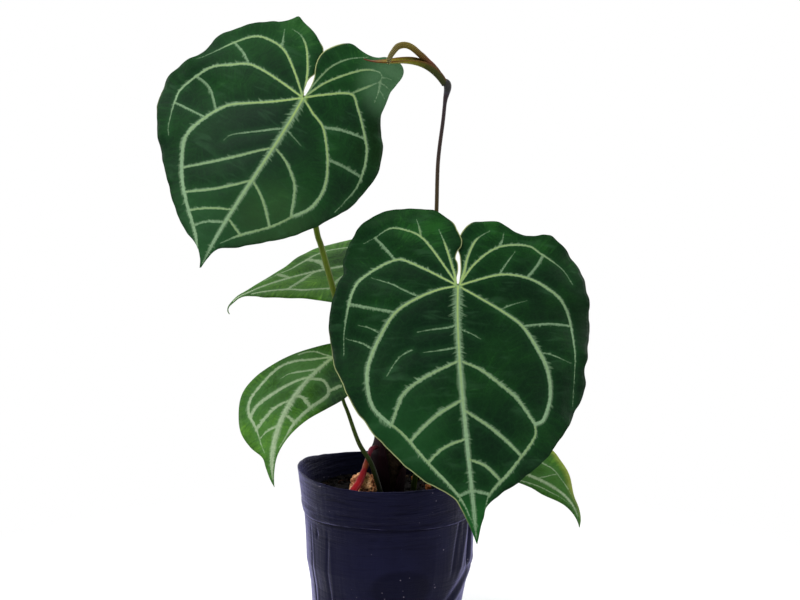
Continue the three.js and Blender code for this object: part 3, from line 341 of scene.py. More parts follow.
lowerLeftLeaf = {
    "name": "lowerLeftLeaf", "node": "lower_left_leaf", "slot": "young_leaf",
    "length": 102, "halfWidth": 42, "puff": 0.9, "scallop": 0, "frill": 0.15,
    "midrib": [(-35, -15, 194.3), (-59, -31, 178), (-78, -48, 150), (-69.4, -58, 118)],
    "across": (0.62, -0.45, -0.64), "wave": (1.5, 40),
    "bend": {"left": (2, 14, 14, 0), "right": (18, 32, 32, 2)},
    "left": [(0.8, -4), (2.5, -8), (6, -9.5), (9.3, -6.7), (15.2, 5.3), (21.6, 17), (27, 27.2),
        (31.7, 38), (33.3, 48.4), (30.7, 58.7), (24.9, 69), (15.8, 77), (7, 82.7), (4.3, 89), (2, 97),
        (0, 102)],
    "right": [(0.8, -4), (4, -9), (12, -11), (20, -8), (25, -1), (26, 12), (21.6, 31.6), (14.6, 49),
        (8, 66.7), (3.4, 81), (1.6, 91), (0, 102)],
    "ribHalf": [(0, 0.7), (0.2, 0.95), (0.45, 1.4), (0.8, 1.3), (1, 0.8)],
    "veins": [
        (1.7, 0.9, (0, 0), (0, 40), (0, 97)),
        (1.2, 0.8, (0, 0), (-6, 3), (-10.4, 5), (-14, 8), (-17.8, 14)),
        (1.6, 0.6, (0, 0), (-8.6, 11.3), (-16, 18.5), (-22, 28), (-24.8, 43), (-25.6, 52), (-22.5, 59),
         (-13.5, 67), (-5.4, 80)),
        (1.2, 0.9, (0, 21), (-5.2, 28.4), (-13.5, 43), (-19.7, 54), (-20.6, 60.6)),
        (1.1, 0.8, (0, 41), (-7, 50), (-12, 62), (-14.2, 66.6)),
        (0.8, 0.6, (0, 61), (-6, 66), (-10.2, 72)),
        (1.6, 0.6, (0, 23), (7.7, 16.5), (15, 19), (16, 25.3), (12.9, 37.4), (8.6, 54), (5.8, 69),
         (3.6, 76)),
        (1.3, 0.7, (15, 19), (17.2, 11.4), (18.4, 7.8)),
        (1.4, 1.1, (0, 38), (4, 36), (8, 36.6), (12.9, 38.4)),
        (1.2, 0.9, (0, 52.5), (5, 53.4), (8.8, 55)),
        (0.6, 0.25, (0, 13), (-2, 15.9), (-8.2, 22.7), (-13.1, 27.7), (-15.4, 32.5)),
    ],
}
lowerRightLeaf = {
    "name": "lowerRightLeaf", "node": "lower_right_leaf", "slot": "young_leaf",
    "length": 98, "halfWidth": 36, "puff": 0.7, "scallop": 0, "frill": 0.15,
    "midrib": [(50, 4, 146), (56, -12, 112), (125, -26, 125), (126.6, -34, 85)],
    "across": (0.36, 0.84, 0.39), "wave": (1.2, 38),
    "bend": {"left": (8, 20, 20, 0), "right": (-14, 16, 16, 1)},
    "left": [(0.8, -5), (4, -12), (10, -14), (17, -9), (21, 2), (21, 18), (16, 34), (10, 46), (8.9, 57),
        (9.7, 65), (8.1, 74), (5.8, 82), (3.2, 90), (0, 98)],
    "right": [(0.8, -5), (4, -12), (12, -15), (22, -11), (30, 0), (34, 16), (35, 34), (34, 50),
        (30.4, 58.5), (24.5, 64.4), (17, 71.2), (8.7, 77.7), (5.2, 82), (3.8, 88), (2.4, 94), (0, 98)],
    "veins": [
        (1.5, 0.7, (0, 0), (0, 50), (0, 92)),
        (1.2, 0.25, (0, 0), (12, 8), (22, 24), (21, 42), (14.6, 56), (13.4, 63), (9, 70), (4.6, 79)),
        (0.4, 0.2, (0, 34), (9, 43), (17.8, 49)),
        (0.35, 0.2, (0, 58), (4.5, 61.9), (11.6, 66.4)),
        (0.9, 0.2, (0, 0), (-9, 10), (-13.5, 26), (-9.5, 42), (-6, 56), (-4.6, 70), (-2, 83)),
        (0.35, 0.2, (0, 36), (-4, 42), (-8.9, 44.4)),
    ],
}

leafCut = {
    "marginStep": 1.3, "veinStep": 1.3, "ribStep": 1.3, "fieldStep": 2.3,
    "offsets": (0.45, 0.9, 1.5, 2.3, 3.4),    # lines of points beside a vein, in its half widths
    "veinGap": 0.42, "fieldGap": 1.7,         # closest that points may come to those before them
    "thickness": 0.7, "halfCad": 0.4, "ridge": 0.32, "ribBelow": 0.55, "puffReach": 5.5, "thinRim": 0.25,
    "tipFade": 16, "jointFade": 80,           # mm over which bands narrow towards tip and petiole
    "overlap": 1.2,                           # lift of the lobe that lies over the other
}


def leafFrame(leaf, y):
    t = np.maximum(y / leaf["length"], 0)[:, None]
    p0, p1, p2, p3 = np.array(leaf["midrib"], float)
    base = (1 - t) ** 3 * p0 + 3 * (1 - t) ** 2 * t * p1 + 3 * (1 - t) * t ** 2 * p2 + t ** 3 * p3
    along = unit((1 - t) ** 2 * (p1 - p0) + 2 * (1 - t) * t * (p2 - p1) + t ** 2 * (p3 - p2))
    back = np.minimum(y, 0) * 3 * np.linalg.norm(p1 - p0) / leaf["length"]
    across = unit(np.array(leaf["across"], float))
    out = unit(across - (along @ across)[:, None] * along)
    return base + along * back[:, None], out, np.cross(along, out)


def facePoint(leaf, side, a, y):
    base, out, up = leafFrame(leaf, y)
    fold, curl, curlTip, phase = leaf["bend"][side]
    start = math.radians(fold)
    share = np.clip(y / leaf["length"], 0, 1)
    turn = np.radians(curl + (curlTip - curl) * share) / leaf["halfWidth"]
    end = start + turn * a
    reach = (np.sin(end) - math.sin(start)) / turn
    drop = (np.cos(end) - math.cos(start)) / turn
    height, length = leaf["wave"]
    ripple = height * (a / leaf["halfWidth"]) ** 2 * np.sin(2 * math.pi * y / length + phase)
    way = -1 if side == "left" else 1
    return base + out * (way * reach)[:, None] + up * (drop + ripple)[:, None]


def faceNormal(leaf, side, a, y, h=0.05):
    alongA = facePoint(leaf, side, a + h, y) - facePoint(leaf, side, a - h, y)
    alongY = facePoint(leaf, side, a, y + h) - facePoint(leaf, side, a, y - h)
    n = unit(np.cross(alongY, alongA)) * (-1 if side == "left" else 1)
    onRib = (np.abs(a) < 1e-4) & (y >= 0)
    n[onRib] = leafFrame(leaf, y[onRib])[2]
    return n


def segmentGap(points, line):
    # distance from each point to each piece of a line, how far along that piece, and on which side of it
    start, way = line[:-1], np.diff(line, axis=0)
    gap = points[:, None] - start
    t = np.clip((gap * way).sum(-1) / np.maximum((way ** 2).sum(-1), 1e-9), 0, 1)
    turned = np.sign(way[:, 0] * gap[..., 1] - way[:, 1] * gap[..., 0])
    return np.linalg.norm(gap - t[..., None] * way, axis=-1), t, turned


def nearestPiece(points, line):
    gap, t, turned = segmentGap(points, line)
    rows, k = np.arange(len(points)), gap.argmin(1)
    return k, t[rows, k], gap[rows, k], turned[rows, k]


def insideOutline(points, ring):
    a, b = ring, np.roll(ring, -1, axis=0)
    x, y = points[:, :1], points[:, 1:]
    spans = (a[:, 1] > y) != (b[:, 1] > y)
    slope = (b[:, 0] - a[:, 0]) / np.where(b[:, 1] == a[:, 1], 1e-9, b[:, 1] - a[:, 1])
    return (spans & (x < a[:, 0] + (y - a[:, 1]) * slope)).sum(1) % 2 == 1


def thinned(layers, size=2.5):
    # keeps points in order, leaving out any that is too close to one already kept
    kept, cells = [], {}
    for points, gap in layers:
        for p in points:
            cell = (int(p[0] // size), int(p[1] // size))
            near = [kept[i] for u in (-1, 0, 1) for v in (-1, 0, 1)
                    for i in cells.get((cell[0] + u, cell[1] + v), ())]
            if all((p[0] - q[0]) ** 2 + (p[1] - q[1]) ** 2 > gap * gap for q in near):
                cells.setdefault(cell, []).append(len(kept))
                kept.append((float(p[0]), float(p[1])))
    return kept


def veinLines(leaf, side):
    # (line, distance along it, half widths, number, strength of its yellow core); the midrib is in both
    lines = []
    for k, (wide, narrow, *points) in enumerate(leaf["veins"]):
        if k > 0 and (points[-1][0] < 0) != (side == "left"):
            continue
        line, at = smoothLine([(abs(a), y) for a, y in points], leafCut["veinStep"])
        half = np.linspace(wide, narrow, len(line)) * leaf.get("veinShare", 1)
        if k == 0 and "ribHalf" in leaf:
            half = np.interp(at / at[-1], *zip(*leaf["ribHalf"]))
        half *= np.clip((leaf["length"] - line[:, 1]) / leafCut["tipFade"], 0.2, 1)
        fromJoint = points[0] == (0, 0)
        if fromJoint and k > 0:
            half *= 0.33 + 0.67 * np.clip(at / leafCut["jointFade"], 0, 1)
        if not fromJoint and wide >= 1:
            half *= 0.46 + 0.54 * np.clip(1.5 * at / at[-1], 0, 1)
        if narrow < 0.65:
            half *= np.clip((at[-1] - at) / max(10, 0.25 * at[-1]), 0.25, 1)
        core = 1 if fromJoint and wide > 1 else 0.35 if wide >= 1 else 0
        lines.append((line, at, half, k, core))
    return lines


def sideways(line):
    way = unit(np.gradient(line, axis=0))
    return np.stack([way[:, 1], -way[:, 0]], 1)


def halfBlade(leaf, side):
    length, seed = leaf["length"], leaf["length"] + (7 if side == "left" else 0)
    ribSteps = round(length / leafCut["ribStep"]) + 1
    rib = np.stack([np.zeros(ribSteps), np.linspace(0, length, ribSteps)], 1)
    margin, at = smoothLine(leaf[side], leafCut["marginStep"])
    ends = np.clip((at - 50) / 15, 0, 1) * np.clip((at[-1] - at) / 25, 0, 1)
    waves = np.sin(at / 2.3 + seed) + 0.8 * np.sin(at / 3.9 + 2 * seed) + 0.5 * np.sin(at / 1.3 + 3 * seed)
    margin = margin + (leaf["scallop"] * ends * waves / 1.6)[:, None] * sideways(margin)
    steps = max(2, round(np.linalg.norm(margin[0]) / leafCut["marginStep"]))
    sinus = np.linspace((0, 0), margin[0], steps, endpoint=False)[1:]
    ring = np.vstack([sinus, margin[:-1], rib[::-1]])
    lines = veinLines(leaf, side)
    layers = []
    for line, _, half, _, _ in lines:
        layers.append((line[1:-1], leafCut["veinGap"], 0.5))
        for k in leafCut["offsets"]:
            for turn in (1, -1):
                beside = line + turn * sideways(line) * (half * k + 0.15)[:, None]
                layers.append((beside, leafCut["veinGap"], 0.5))
    step, (low, high) = leafCut["fieldStep"], (ring.min(0), ring.max(0))
    field = np.array([(low[0] + step * (i + 0.5 * (j % 2)), low[1] + step * 0.87 * j)
                      for j in range(int((high[1] - low[1]) / step / 0.87) + 1)
                      for i in range(int((high[0] - low[0]) / step) + 1)])
    kept = [(ring, 0)]
    for points, gap, toEdge in [*layers, (field, leafCut["fieldGap"], 1.1)]:
        points = points[insideOutline(points, ring)]
        kept.append((points[segmentGap(points, np.vstack([ring, ring[:1]]))[0].min(1) > toEdge], gap))
    out = delaunay_2d_cdt([Vector(p) for p in thinned(kept)], [], [list(range(len(ring)))], 1, 1e-5)
    flat = np.array([tuple(p) for p in out[0]])
    faces = [f if side == "left" else f[::-1] for f in out[2]]

    # nearest vein of every point, by the distance to its edge
    best, veins, marks = np.full(len(flat), 1e9), np.zeros((len(flat), 3)), np.zeros((len(flat), 3))
    for line, run, half, number, core in lines:
        k, t, gap, turned = nearestPiece(flat, line)
        wide = half[k] + (half[k + 1] - half[k]) * t
        nearer = (gap - wide < best)[:, None]
        best = np.minimum(gap - wide, best)
        veins = np.where(nearer, np.stack([run[k] + (run[k + 1] - run[k]) * t, gap, wide], 1), veins)
        marks = np.where(nearer, np.stack([turned, turned * 0 + number, turned * 0 + core], 1), marks)
    k, t, toMargin, _ = nearestPiece(flat, np.vstack([sinus, margin]))
    runMargin = (k - len(sinus) + t) * leafCut["marginStep"]

    # the cells between the veins swell, the veins stand out and the margin is uneven
    a, y = flat.T
    off, wide = veins[:, 1], veins[:, 2]
    puff = leaf["puff"] * (1 - np.exp(-(np.maximum(off - wide, 0) / leafCut["puffReach"]) ** 2))
    puff = puff * np.clip(toMargin / 11, 0, 1) ** 1.5
    ridge = leafCut["ridge"] * np.exp(-(off / (0.6 * wide + 0.1)) ** 2) * np.minimum(wide, 1.6) / 1.6
    frill = leaf["frill"] * np.exp(-(toMargin / 7) ** 2) * np.clip((runMargin - 50) / 15, 0, 1)
    frill = frill * np.clip((length - y) / 30, 0, 1)
    frill = frill * (np.sin(runMargin / 4.1 + seed) + 0.6 * np.sin(runMargin / 2.7 + 2 * seed))
    nearSinus = np.exp(-(np.maximum(a, 0) / 6) ** 2) * np.clip((-y - 16) / 10, 0, 1)
    over = leafCut["overlap"] if side == leaf.get("onTop") else -0.2
    lift = leafCut["halfCad"] - 0.1 + puff + ridge + frill + over * nearSinus
    place = facePoint(leaf, side, a, y) + faceNormal(leaf, side, a, y) * lift[:, None]
    plan = np.stack([0.5 + a / 200 * (-1 if side == "left" else 1), 0.5 + y / 200], 1)
    return faces, place * mm, veins, marks, toMargin, plan


def leafBlade(leaf, materials):
    left, right = [halfBlade(leaf, side) for side in ("left", "right")]
    co, veins, marks, toMargin, plan = [np.concatenate(pair) for pair in zip(left[1:], right[1:])]
    mesh = bpy.data.meshes.new(leaf["name"])
    mesh.from_pydata(co.tolist(), [], [*left[0], *[[i + len(left[1]) for i in f] for f in right[0]]])
    for name, numbers in (("vein", veins), ("mark", marks), ("toMargin", toMargin)):
        setAttribute(mesh, name, numbers)
    corners = values(mesh.loops, "vertex_index", kind=int)
    mesh.uv_layers.new(name="plan").data.foreach_set("uv", plan[corners].reshape(-1))
    piece = bpy.data.objects.new(leaf["name"], mesh)
    bpy.context.collection.objects.link(piece)
    with editing(piece) as edit:
        edit.remove_doubles(threshold=0.02 * mm)
    smoothed(piece)
    finished(piece, leaf["name"], leaf["slot"], materials, leaf["node"] + "_blade",
             leaf["node"] + "_veins")
    above = len(mesh.vertices)
    walled(piece, leafCut["thickness"], -1, material_offset=1, material_offset_rim=2)

    # veins stand out below the blade, and the margin is thinner than the rest
    mesh = piece.data
    co, normals = values(mesh.vertices, "co", 3), values(mesh.vertices, "normal", 3)
    _, off, wide = values(mesh.attributes["vein"].data, "vector", 3).T
    margin = values(mesh.attributes["toMargin"].data, "value")
    rib = leafCut["ribBelow"] * np.exp(-(off / (0.8 * wide + 0.1)) ** 2) * wide
    sunk = rib - leafCut["thinRim"] * np.exp(-(margin / 0.8) ** 2)
    co[above:] += (normals * sunk[:, None] * mm)[above:]
    setVertices(piece, co / mm)
    print("leaf", leaf["name"], len(mesh.polygons), "faces")


def rimPlaces(add, plan, look):
    # where the margin is pale: beside the sinus, and on the part of the edge that look gives
    x, y, _ = add("SeparateXYZ", plan).node.outputs
    aside = add("Math ABSOLUTE", add("Math ADD", x, -0.5))
    sinus = add("MapRange", aside, 0.02, 0.04, 1, 0)
    above = add("MapRange", y, 0.44, 0.47, 1, 0)
    turn = add("MapRange", x, look["paleFrom"], look["paleTo"], 0, 1)
    low = add("MapRange", y, 0.62, 0.78, 0, 1)
    return add("Math MAXIMUM", add("Math MULTIPLY", sinus, above), add("Math MULTIPLY", turn, low))


def bladeMaterial(look):
    # living leaf, upper face: thin waxy cuticle over green tissue, so a faint gloss over a mottled
    # green, pale sage bands along the veins with feathery edges, and a faint net of fine veins
    made, add = newMaterial(look["name"] + "Upper", look["roughness"], look["specular"])
    plan, toMargin = add("UVMap plan"), add("Attribute toMargin", out=2)
    run, off, half = add("SeparateXYZ", add("Attribute vein", out=1)).node.outputs
    turned, number, core = add("SeparateXYZ", add("Attribute mark", out=1)).node.outputs
    side = add("Math SIGN", turned)

    # solid band with soft edges, and past it a thin fringe of fine strokes at a slant to the vein,
    # longer on the outer side of a bend, with a spur here and there
    slant = add("Math MULTIPLY_ADD", off, -0.5, run)
    row = add("Math MULTIPLY_ADD", side, 1.7, number)
    where = add("CombineXYZ", slant, add("Math MULTIPLY", row, 5.3))
    strokes = add("TexNoise", where, 1.45, 3, 0.65)
    ragged = add("MapRange", strokes, 0.32, 0.68, -0.4, 0.8)
    width = add("MapRange", half, 0.3, 1.8, 0.2, 1)
    edge = add("Math MULTIPLY_ADD", ragged, width, add("Math MULTIPLY", half, look["band"]))
    beyond = add("Math SUBTRACT", off, edge)
    within = add("Math DIVIDE", beyond, add("Math MULTIPLY_ADD", half, 0.2, 0.16))
    strong = add("MapRange", half, 0.12, 0.7, 0.5, 1)
    later = add("MapRange", run, 5, 100, 0.66, 0.95)
    full = add("Math MULTIPLY", add("Math MULTIPLY", strong, look["bandShare"]), later)
    solid = add("MapRange SMOOTHSTEP", within, -0.85, 0.5, full, 0)
    slow = add("TexNoise", where, 0.13)
    longer = add("MapRange", slow, 0.35, 0.66, 0.5 * look["feather"], look["feather"])
    spur = add("MapRange", add("TexNoise", where, 0.42, 0), 0.63, 0.7, 0, look["spur"])
    lean = add("Math MULTIPLY", add("MapRange", side, -1, 1, 1, 0.3), width)
    far = add("Math MULTIPLY_ADD", add("Math ADD", longer, spur), lean, edge)
    fade = add("MapRange", off, edge, far, 0.75, 0)
    strand = add("MapRange", strokes, 0.42, 0.56, 0.06, 1)
    band = add("Math MAXIMUM", solid, add("Math MULTIPLY", fade, strand))
    halo = add("MapRange SMOOTHSTEP", beyond, 0, 4.5, look["halo"], 0)

    # ground of the blade: broad patches, streaks out from the veins and a fine grain, a little
    # lighter on the lobes beside the petiole, with patches of darker and fresher tone laid over, and
    # greyish and bluish patches that are painted sheen
    broad = add("TexNoise", plan, 5.5, 3)
    streakPlace = add("VectorMath MULTIPLY", add("CombineXYZ", run, off), (0.5, 0.045, 1))
    streak = add("TexNoise", streakPlace, 1, 4, 0.6)
    grain = add("TexNoise", plan, 190, 4, 0.65)
    mixed = add("Math MULTIPLY_ADD", streak, look["streak"], broad)
    middle = 0.5 * (1.35 + look["streak"])
    mottled = add("Math MULTIPLY_ADD", grain, 0.35, mixed)
    tone = add("MapRange", mottled, middle - 0.27, middle + 0.33, 0, 0.9)
    lobe = add("MapRange", add("SeparateXYZ", plan, out=1), 0.46, 0.26, 0, look["lobes"])
    ground = add("ValToRGB", add("Math ADD", tone, lobe), stops=look["ground"])
    for x, y, spread, share, tint in look["patches"]:
        away = add("VectorMath DISTANCE", plan, (x, y, 0))
        patch = add("MapRange SMOOTHSTEP", away, 0.3 * spread, spread, share, 0)
        ground = add("Mix RGBA", patch, ground, tint)

    # painted sheen: lighter streaks across the puffed cells, in groups, where their swelling would catch
    # the light
    satin = add("TexNoise", add("VectorMath MULTIPLY", plan, (9, 34, 1)), 1, 2, 0.5, Distortion=0.6)
    grouped = add("MapRange", add("TexNoise", plan, 9, 1), 0.46, 0.64, 0, 1)
    streaked = add("MapRange SMOOTHSTEP", satin, 0.48, 0.7, 0, look["satin"])
    ground = add("Mix RGBA", add("Math MULTIPLY", streaked, grouped), ground, look["sheenStreakColour"])

    # net of fine veins in cells of about 4 mm, and a lighter zone beside each vein
    net = add("TexVoronoi DISTANCE_TO_EDGE", plan, 46)
    netted = add("Mix RGBA", add("MapRange", net, 0, 0.09, look["net"], 0), ground, look["haloColour"])
    haloed = add("Mix RGBA", halo, netted, look["haloColour"])

    # pale band, and in the thick veins a yellow-green core that fades on its way out
    pale = add("ValToRGB", add("TexNoise", plan, 120, 3), stops=look["pale"])
    thick = add("Math MULTIPLY", core, add("MapRange", half, 0.3, 0.6, 0, 1))
    coreShare = add("Math MULTIPLY", add("MapRange SMOOTHSTEP", off, 0.3, 0.8, 0.9, 0), thick)
    coreMix = add("Math MULTIPLY", coreShare, add("MapRange", run, 0, look["coreFade"], 1, 0))
    veined = add("Mix RGBA", coreMix, add("Mix RGBA", band, haloed, pale), look["core"])

    # cream line along the margin
    line = add("MapRange", toMargin, 0.2, look["marginWidth"], look["marginShare"], 0)
    edged = add("Mix RGBA", add("Math MULTIPLY", line, rimPlaces(add, plan, look)), veined, look["margin"])

    gloss = add("MapRange", grain, 0, 1, look["roughness"] - 0.06, look["roughness"] + 0.1)
    netRise = add("MapRange SMOOTHSTEP", net, 0, 0.25, 0, 0.5)
    rise = add("Math MULTIPLY_ADD", grain, 0.5, add("Math MULTIPLY_ADD", streak, 2.2, netRise))
    return linked(made, add, edged, rise, look["relief"], 0.25,
                  Roughness=add("Math MULTIPLY_ADD", band, 0.1, gloss))


def undersideMaterial(look):
    # living leaf, underside: no cuticle gloss, paler and duller, with pale ribs
    made, add = newMaterial(look["name"] + "Under", 0.62, 0.3)
    plan = add("UVMap plan")
    _, off, half = add("SeparateXYZ", add("Attribute vein", out=1)).node.outputs
    rib = add("MapRange SMOOTHSTEP", add("Math SUBTRACT", off, half), -0.3, 0.35, 1, 0)
    ground = add("ValToRGB", add("TexNoise", plan, 9, 4), stops=look["below"])
    net = add("TexVoronoi DISTANCE_TO_EDGE", plan, 52)
    netted = add("Mix RGBA", add("MapRange", net, 0, 0.08, 0.35, 0), ground, look["belowRib"])
    return linked(made, add, add("Mix RGBA", rib, netted, look["belowRib"]), net, 0.4, 0.15)


def rimMaterial(look):
    # cut of the margin: dull green, thin and cream or yellowish where the edge is pale
    made, add = newMaterial(look["name"] + "Rim", 0.55, 0.2)
    mottle = add("TexNoise", add("TexCoord", out=3), 400, 3)
    pale = add("ValToRGB", mottle, stops=look["rim"])
    green = add("ValToRGB", mottle, stops=look["ground"][1:3])
    return linked(made, add, add("Mix RGBA", rimPlaces(add, add("UVMap plan"), look), green, pale))


# Places in a look are shares of the plan of a leaf. A patch is its place, spread, strength and colour.

oldLook = {
    "name": "livingLeafOld", "roughness": 0.5, "specular": 0.035, "relief": 0.3,
    "band": 0.95, "bandShare": 0.95, "feather": 2.4, "spur": 2.8,
    "pale": [(0.25, "#6c8968"), (0.7, "#86a37f")],
    "core": "#93ab62", "coreFade": 105, "halo": 0.2, "net": 0.08, "haloColour": "#24502a",
    # painted sheen: strength and colour of the light streaks across the puffed cells
    "satin": 0.26, "sheenStreakColour": "#34573a", "streak": 0.6, "lobes": 0.35,
    "ground": [(0, "#0a1d10"), (0.35, "#0c2512"), (0.7, "#113114"), (1, "#1e4a1c")],
    # the second patch, dark and bluish beside the midrib on the left, is a painted reflection
    "patches": [(0.5, 0.5, 0.02, 0.9, "#7f9c48"), (0.37, 0.7, 0.2, 0.5, "#0c2214"),
                (0.5, 1.28, 0.16, 0.6, "#1b5620"), (0.3, 0.98, 0.2, 0.5, "#1a4420"),
                (0.93, 0.55, 0.14, 0.5, "#0c2410")],
    "margin": "#b4bd82", "marginWidth": 0.8, "marginShare": 0.7, "paleFrom": 0.49, "paleTo": 0.45,
    "below": [(0.3, "#456539"), (0.7, "#587849")], "belowRib": "#8ba06c",
    "rim": [(0.3, "#879c5a"), (0.7, "#a6b676")],
}
upperLook = {
    **oldLook, "name": "livingLeafUpper", "paleFrom": 0.1, "paleTo": 0,
    "ground": [(0, "#0e2215"), (0.35, "#122d17"), (0.7, "#173b1a"), (1, "#275023")],
    # the second patch, greyish in the middle, and the third, grey-green on the right lobe, are painted
    # sheen
    "patches": [(0.5, 0.5, 0.02, 0.9, "#7f9c48"), (0.42, 0.72, 0.26, 0.6, "#1b2c21"),
                (0.735, 0.3, 0.15, 0.6, "#557a58"), (0.78, 0.5, 0.12, 0.8, "#0a2209"),
                (0.45, 1.08, 0.2, 0.4, "#2c5030"), (0.64, 0.92, 0.2, 0.45, "#33522f")],
}
youngLook = {
    **oldLook, "name": "livingLeafYoung", "specular": 0.06,
    "band": 0.9, "feather": 1.9, "spur": 2, "pale": [(0.25, "#8aa07c"), (0.7, "#a9bb99")],
    "core": "#93aa78", "coreFade": 20, "halo": 0.35, "net": 0.2, "haloColour": "#4a7440",
    # painted sheen: strength and colour of the light streaks across the puffed cells
    "satin": 0.15, "sheenStreakColour": "#4f7a40", "streak": 0.95, "lobes": 0,
    "ground": [(0, "#1c3a14"), (0.35, "#31581c"), (0.65, "#487525"), (1, "#6a9a33")],
    "patches": [(0.6, 0.85, 0.12, 0.2, "#223f1d"), (0.5, 1.12, 0.1, 0.5, "#24421f")],
    "margin": "#5f8a35", "marginShare": 0.3, "paleFrom": 0.1, "paleTo": 0,
    "rim": [(0.3, "#44692a"), (0.7, "#628a3a")],
}
lowerLook = {
    **youngLook, "name": "livingLeafLower",
    # the first patch, greyish on the right of the midrib, is painted sheen
    "patches": [(0.61, 0.55, 0.15, 0.85, "#23352a"), (0.45, 0.6, 0.1, 0.4, "#4a7438"),
                (0.37, 0.76, 0.1, 0.5, "#27501c")],
}
yellowLook = {
    **youngLook, "name": "livingLeafYellowing",
    # the ground is darker than the young look's, partly as painted shade of the front leaf over this one
    "ground": [(0, "#223f18"), (0.4, "#2c551b"), (0.75, "#3c6a22"), (1, "#588529")],
    "patches": [(0.5, 0.72, 0.12, 0.4, "#2c4c22")],
    "margin": "#8f9434", "marginWidth": 4.5, "marginShare": 0.65, "paleFrom": 0.5, "paleTo": 0.54,
    "rim": [(0.3, "#8a8f34"), (0.7, "#a09a3c")],
}

for leaf, look in ((frontLeaf, oldLook), (upperLeaf, upperLook), (backLeaf, youngLook),
                   (lowerLeftLeaf, lowerLook), (lowerRightLeaf, yellowLook)):
    leafBlade(leaf, [bladeMaterial(look), undersideMaterial(look), rimMaterial(look)])


# Stalks, root and bloom: smooth tubes along the routes of the part

stemPlan = {
    "at": (2, 0), "profile": [(90, 8.4), (104, 9), (120, 9.8), (128, 9.6), (130, 9)],
    "rings": 40, "sides": 64,
    "seatHeight": 130.35, "seatRing": 5.6,
}
stalks = [
    {"leaf": frontLeaf, "seat": 285, "radius": (2.2, 1.5), "arrive": (0.38, -0.72, 0.57),
     "route": [(3.6, -6, 142), (10, -12, 170), (24, -26, 208), (38, -42, 234)]},
    {"leaf": upperLeaf, "seat": 165, "radius": (2.4, 1.7), "arrive": (0.07, -0.55, 0.83),
     "route": [(-4.2, 1.6, 142), (-9.5, 0.5, 168), (-18, -4, 192), (-26, -17, 214), (-30.6, -22.5, 228),
               (-33.4, -23.5, 238.5), (-36, -22.5, 247.5), (-41.9, -20.5, 268.3), (-45.3, -18, 280.2),
               (-52, -11, 324)]},
    {"leaf": backLeaf, "seat": 95, "radius": (2.2, 1.4), "arrive": (0.05, 0.1, 0.99),
     "route": [(1.5, 6.2, 142), (3, 14, 185), (6, 27, 225)]},
    {"leaf": lowerLeftLeaf, "foot": (-2, -20.5, 90), "radius": (1.95, 0.9), "arrive": (-0.12, -0.74, 0.66),
     "route": [(-2.6, -21.4, 101), (-4.5, -22, 109), (-9.6, -21, 124.5), (-17.8, -17.6, 137.5),
               (-25.2, -11, 156.4), (-28.7, -7, 164.6), (-32.9, -3.4, 181)]},
    {"leaf": lowerRightLeaf, "foot": (18.6, 5, 90), "radius": (2.1, 1.4), "arrive": (0.62, -0.2, 0.6),
     "route": [(19.4, 5.2, 106), (25, 6.5, 124), (35.5, 7.4, 136)]},
]


def seatOnStem(angle):
    return around(stemPlan["seatRing"], np.radians([angle]), [stemPlan["seatHeight"]], stemPlan["at"])[0]


def tube(points, radiusAt, step=1.6, sides=5):
    # bevelled curve made a mesh, with its share of the length kept for the material
    line, at = smoothLine(points, step)
    bpy.ops.object.select_all(action="DESELECT")
    bpy.ops.curve.primitive_bezier_curve_add(location=(0, 0, 0))
    curve = bpy.context.object
    curve.data.splines.clear()
    spline = curve.data.splines.new("POLY")
    spline.points.add(len(line) - 1)
    share = at / at[-1]
    for point, place, u in zip(spline.points, line, share):
        point.co = (*(place * mm), 1)
        point.radius = radiusAt(u)
    for key, value in {"dimensions": "3D", "bevel_depth": mm, "bevel_resolution": sides,
                       "use_fill_caps": True}.items():
        setattr(curve.data, key, value)
    onlySelect(curve)
    bpy.ops.object.convert(target="MESH")
    piece = bpy.context.object
    with editing(piece) as edit:
        edit.remove_doubles(threshold=0.01 * mm)
        faceOutwards(edit)
    co = values(piece.data.vertices, "co", 3) / mm
    setAttribute(piece.data, "along", share[nearestOn(line, co)])
    return smoothed(piece)


def eased(t):
    t = min(1, max(0, t))
    return t * t * (3 - 2 * t)


def climbing(add, scale, detail=2, roughness=0.5):
    # how far along the stalk, shifted by a blotchy noise, and that noise
    blotch = add("TexNoise", add("TexCoord", out=3), scale, detail, roughness)
    shifted = add("Math MULTIPLY_ADD", blotch, 0.16, add("Attribute along", out=2))
    return add("Math ADD", shifted, -0.08), blotch


def stalkMaterial(name, stops):
    # fibrous living stalk: long fine ribs that catch a soft gloss, its colour changing on the way up
    made, add = newMaterial(name, 0.42, 0.14)
    stretched = add("VectorMath MULTIPLY", add("TexCoord", out=3), (1, 1, 0.06))
    fibres = add("TexNoise", stretched, 1400, 3)
    skin = add("ValToRGB", climbing(add, 120, 4)[0], stops=stops)
    shade = add("MapRange", fibres, 0.3, 0.7, 0, 0.3)
    return linked(made, add, add("Mix RGBA", shade, skin, "#0e1206"), fibres, 0.5, 0.15)


petioleSkins = {
    "upperLeaf": stalkMaterial("livingStalkUpper", [
        (0, "#3a1c1c"), (0.12, "#3f4413"), (0.5, "#4c5c14"), (0.75, "#566a18"), (1, "#6a7c2a")]),
    # near black at its foot: painted shadow of the front leaf over it
    "lowerLeftLeaf": stalkMaterial("livingStalkLowerLeftPaintedShade", [
        (0.1, "#0a0c05"), (0.25, "#1a220b"), (0.4, "#28360e"), (0.7, "#3a4e14"), (1, "#4c6420")]),
}
petioleSkin = stalkMaterial("livingStalk", [
    (0, "#3a1c1c"), (0.15, "#33400f"), (0.6, "#46561a"), (1, "#5c7028")])

